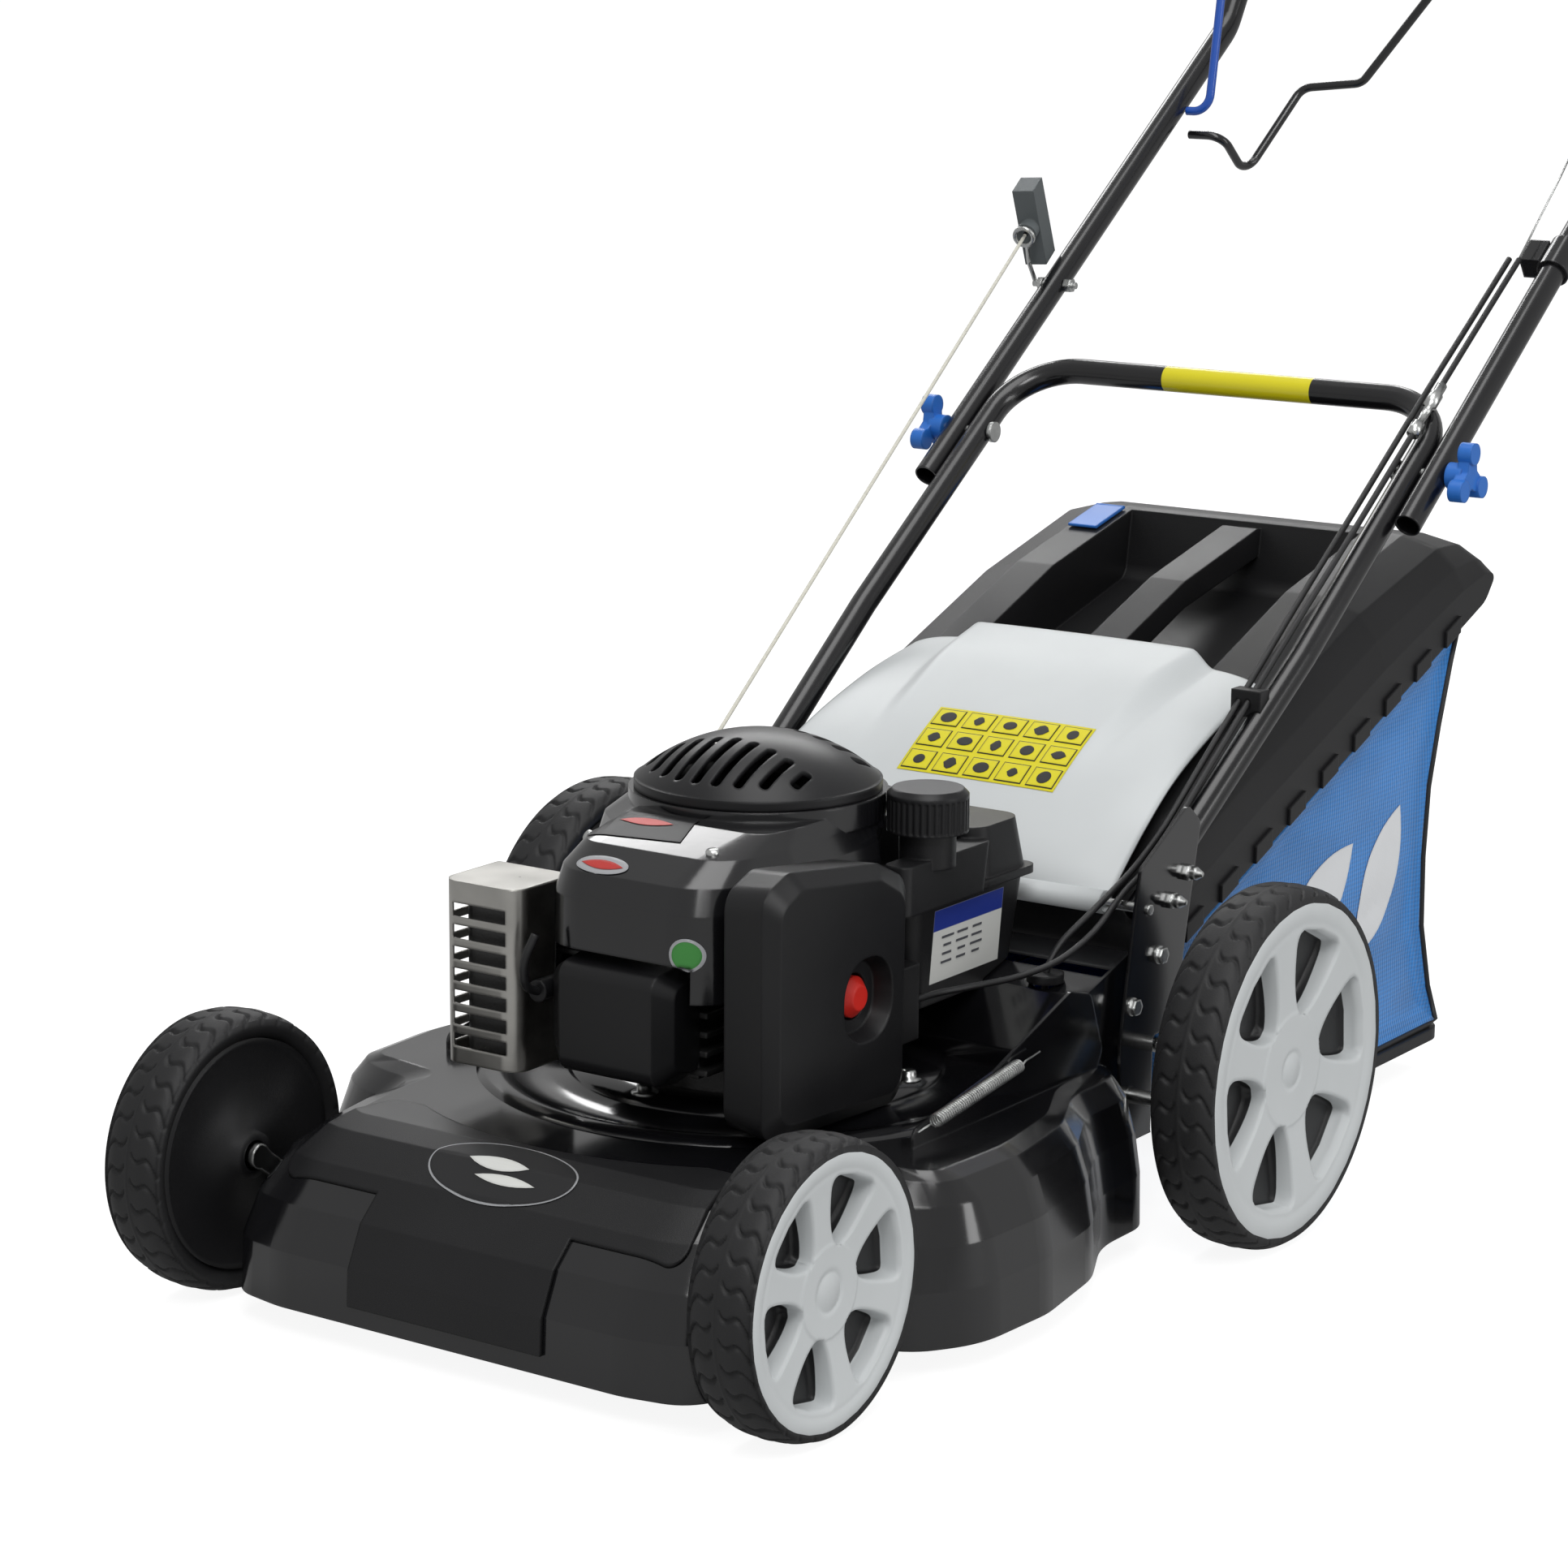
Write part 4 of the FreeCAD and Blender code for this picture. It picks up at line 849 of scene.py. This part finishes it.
# generic badges and labels on the chassis: name, patches, piece, direction, lift, material, cells
nose, shroud, fuel_tank = (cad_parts[name] for name in ("nose_cover", "blower_housing", "fuel_tank"))
nose_leaves = [leaf((-6, 7, 120), (26, 0, 0), (0, 6, 0)), leaf((8, -5, 120), (26, 0, 0), (0, 4, 0))]
BARS, BAR_COLUMNS = 12, 3
bars = [flat((118, 372 + 20 * (k % BAR_COLUMNS), 240 - 6.5 * (k // BAR_COLUMNS)), (0, 8.0 - (k * 5) % 4, 0),
             (0, 0, 0.9)) for k in range(BARS)]
MARKS = (
    ("nose_badge_edge", [oval((0, 3, 120), (62, 0, 0), (0, 27, 0))], nose, DOWN, 0.5, silver_print, 16),
    ("nose_badge", [oval((0, 3, 120), (60.5, 0, 0), (0, 25.6, 0))], nose, DOWN, 0.9, badge_black, 16),
    ("nose_badge_mark", nose_leaves, nose, DOWN, 1.3, print_white, 8),
    ("shroud_badge", [oval((-10, 129, 320), (22, 0, 0), (0, 8, 0))], shroud, DOWN, 0.6, silver_print, 12),
    ("shroud_badge_band", [leaf((-10, 129, 320), (18, 0, 0), (0, 4, 0))], shroud, DOWN, 1.0, print_red, 8),
    ("shroud_plate", [flat((-14, 182, 330), (38, 4, 0), (-6, 20, 0))], shroud, DOWN, 0.5, badge_black, 12),
    ("shroud_plate_band", [leaf((-14, 186, 330), (22, 2, 0), (-1.5, 5, 0))], shroud, DOWN, 0.9, print_red, 8),
    ("round_label_edge", [oval((72, 118, 271), (12, 0, 0), (0, 0, 12))], shroud, FROM_FRONT, 0.5,
     silver_print, 12),
    ("round_label", [oval((72, 118, 271), (9.8, 0, 0), (0, 0, 9.8))], shroud, FROM_FRONT, 0.9,
     green_print, 12),
    ("tank_label_bars", bars, fuel_tank, FROM_LEFT, 0.4, print_grey, 2),
)
for name, patches, piece, direction, lift, material, cells in MARKS:
    decal(name, patches, piece, direction, lift, material, "chassis", cells)
for name, side, direction in (("bag_mark", 1, FROM_LEFT), ("bag_mark_right", -1, FROM_RIGHT)):
    leaves = [leaf((side * 200, 815, 178), (0, 62, 46), (0, -17, 24)),
              leaf((side * 200, 925, 182), (0, 34, 60), (0, -26, 15))]
    decal(name, leaves, bag, direction, 0.6, bag_white, "grass_bag", 16)

# ---- pressed ring, engine flange and screws ----
RING = ((207, 0.1), (205, 1.6), (201, 3.0), (192, 3.4), (187, 3.0), (182, 1.2), (176, 0.5), (140, 0.4),
        (139.4, 1.4), (138.6, 5.4), (97, 5.6))     # (radius about the crankshaft, height over the deck)
RING_STEPS = 120
RING_REACH = 96.0                       # how far the ring runs back past the crankshaft before it is cut off
FLANGE_RISE, FLANGE_BOLT_R = 5.4, 124.0
FLANGE_BOLT_ANGLES = (-150, -95, -40, 8)
BOLT_PROFILE = ((0.1, 8.0), (5.2, 7.6), (6.0, 6.6), (6.0, 2.0), (10.0, 1.8), (10.2, 0.2), (0.1, 0.1))
SCREW_PROFILE = ((0.1, 2.6), (4.0, 2.4), (4.6, 1.6), (4.8, -1.0))
SCREWS = ((-52, 168), (62, 160), (-84, 360), (84, 366))
SCREW_LOOK_Z, SCREW_LOOK_REACH = 400.0, 0.2     # a screw's seat is looked for downwards from here


def ring_rows():
    """Front half of the ring, closed a little way behind the crankshaft."""
    rows = []
    for radius, rise in RING:
        reach = math.asin(min(1.0, RING_REACH / radius))
        angles = [-math.pi - reach + (math.pi + 2 * reach) * k / RING_STEPS for k in range(RING_STEPS + 1)]
        rows.append([at(radius * math.cos(t), CRANK_Y + radius * math.sin(t), DECK_Z + rise) for t in angles])
    return rows


new_object("deck_ring", grid_mesh("deck_ring", ring_rows()), gloss_black, "chassis")
for k, angle in enumerate(FLANGE_BOLT_ANGLES):
    a = math.radians(angle)
    foot = at(FLANGE_BOLT_R * math.cos(a), CRANK_Y + FLANGE_BOLT_R * math.sin(a), DECK_Z + FLANGE_RISE)
    lathe("flange_bolt_%d" % k, BOLT_PROFILE, foot, Vector((0, 0, 1)), zinc, "chassis", 24)
shroud_surface = surface_tree(shroud)
for k, (x, y) in enumerate(SCREWS):
    place, normal, _, _ = shroud_surface.ray_cast(at(x, y, SCREW_LOOK_Z), Vector(DOWN), SCREW_LOOK_REACH)
    if place is not None:
        lathe("shroud_screw_%d" % k, SCREW_PROFILE, place, normal, zinc, "chassis", 24)

# ---- clips along the rim of the bag lid ----
RIM_FRONT, RIM_REAR = (530.0, 196.0), (1062.0, 398.0)
CLIPS, CLIP_START, CLIP_PITCH = 9, 588.0, 54.0
CLIP_HALF, CLIP_BOTTOM, CLIP_TOP = 13.0, -8.0, 6.0
CLIP_X, CLIP_THICKNESS = 205.4, 3.2
rim_slope = (RIM_REAR[1] - RIM_FRONT[1]) / (RIM_REAR[0] - RIM_FRONT[0])
for label, side in (("left", 1), ("right", -1)):
    for k in range(CLIPS):
        y = CLIP_START + CLIP_PITCH * k
        z = RIM_FRONT[1] + (y - RIM_FRONT[0]) * rim_slope
        lean = CLIP_HALF * rim_slope
        corners = [(y - CLIP_HALF, z + CLIP_BOTTOM - lean), (y + CLIP_HALF, z + CLIP_BOTTOM + lean),
                   (y + CLIP_HALF, z + CLIP_TOP + lean), (y - CLIP_HALF, z + CLIP_TOP - lean)]
        plate("lid_clip_%s_%d" % (label, k), [at(side * CLIP_X, b, c) for b, c in corners], CLIP_THICKNESS,
              Vector((side, 0, 0)), matt_black, "grass_bag")

# ---- cable adjuster and the wire up to the brake bail ----
ADJUSTER_FOOT = at(202.5, 938, 555.2)
ADJUSTER_PROFILE = ((2.6, 0), (5.4, 1), (5.4, 14), (3.6, 15), (3.6, 34), (5.8, 35), (5.8, 50), (4.4, 52),
                    (4.4, 62), (2.6, 63))
adjuster = lathe("cable_adjuster", ADJUSTER_PROFILE, ADJUSTER_FOOT, at(203, 992, 593.5) - ADJUSTER_FOOT, zinc,
                 None, 24)
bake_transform(adjuster)
tube("brake_wire", [at(206, 1121, 687), at(203, 1200, 748), at(199, 1306, 838)], 0.0009, zinc, "upper_frame",
     8)

# ---- floor, light and finish ----
FLOOR_SIZE = 200.0
FLOOR_GLOW = (0.15, 0.90)               # light given off by the floor: for reflections, and as it is seen
SKY_STRENGTH = (0.42, 1.0)
WHITE = (1.0, 1.0, 1.0, 1.0)


def as_seen(tree, target, strengths):
    """Feeds target the first strength for reflections and the second where it is seen directly."""
    seen = tree.nodes.new("ShaderNodeLightPath").outputs["Is Camera Ray"]
    strength = tree.nodes.new("ShaderNodeMapRange")
    strength.inputs["To Min"].default_value, strength.inputs["To Max"].default_value = strengths
    tree.links.new(seen, strength.inputs["Value"])
    tree.links.new(strength.outputs["Result"], target)


bpy.ops.mesh.primitive_plane_add(size=FLOOR_SIZE, location=(0, 0, 0))
floor = bpy.context.object
floor.name = "floor"
floor_surface = surface("floor_white", (0.30, 0.30, 0.30, 1.0), 0.7, amount=0.01, scale=1.0,
                        grain=(20.0, 0.01))
floor_surface.shader.inputs["Emission Color"].default_value = WHITE
as_seen(floor_surface.material.node_tree, floor_surface.shader.inputs["Emission Strength"], FLOOR_GLOW)
floor.data.materials.append(floor_surface.done())


def area_light(name, place, target, size, power):
    data = bpy.data.lights.new(name, "AREA")
    data.shape = "RECTANGLE"
    data.size, data.size_y = size
    data.energy = power
    light = bpy.data.objects.new(name, data)
    light.location = place
    light.rotation_euler = (Vector(target) - Vector(place)).to_track_quat("-Z", "Y").to_euler()
    bpy.context.collection.objects.link(light)


area_light("key", (1.8, -2.6, 3.0), (0, 0, 0.3), (1.6, 1.2), 42.0)
area_light("fill", (3.4, 0.6, 1.4), (0, 0, 0.4), (1.0, 2.2), 22.0)
area_light("back", (-2.0, 2.6, 2.4), (0, 0, 0.4), (2.4, 0.8), 34.0)
area_light("top", (0.2, -0.4, 3.4), (0, -0.2, 0), (1.6, 2.6), 34.0)
world = bpy.data.worlds.new("studio")
world.use_nodes = True
background = world.node_tree.nodes["Background"]
background.inputs["Color"].default_value = WHITE
as_seen(world.node_tree, background.inputs["Strength"], SKY_STRENGTH)
bpy.context.scene.world = world
bpy.context.scene.view_settings.view_transform = "Standard"
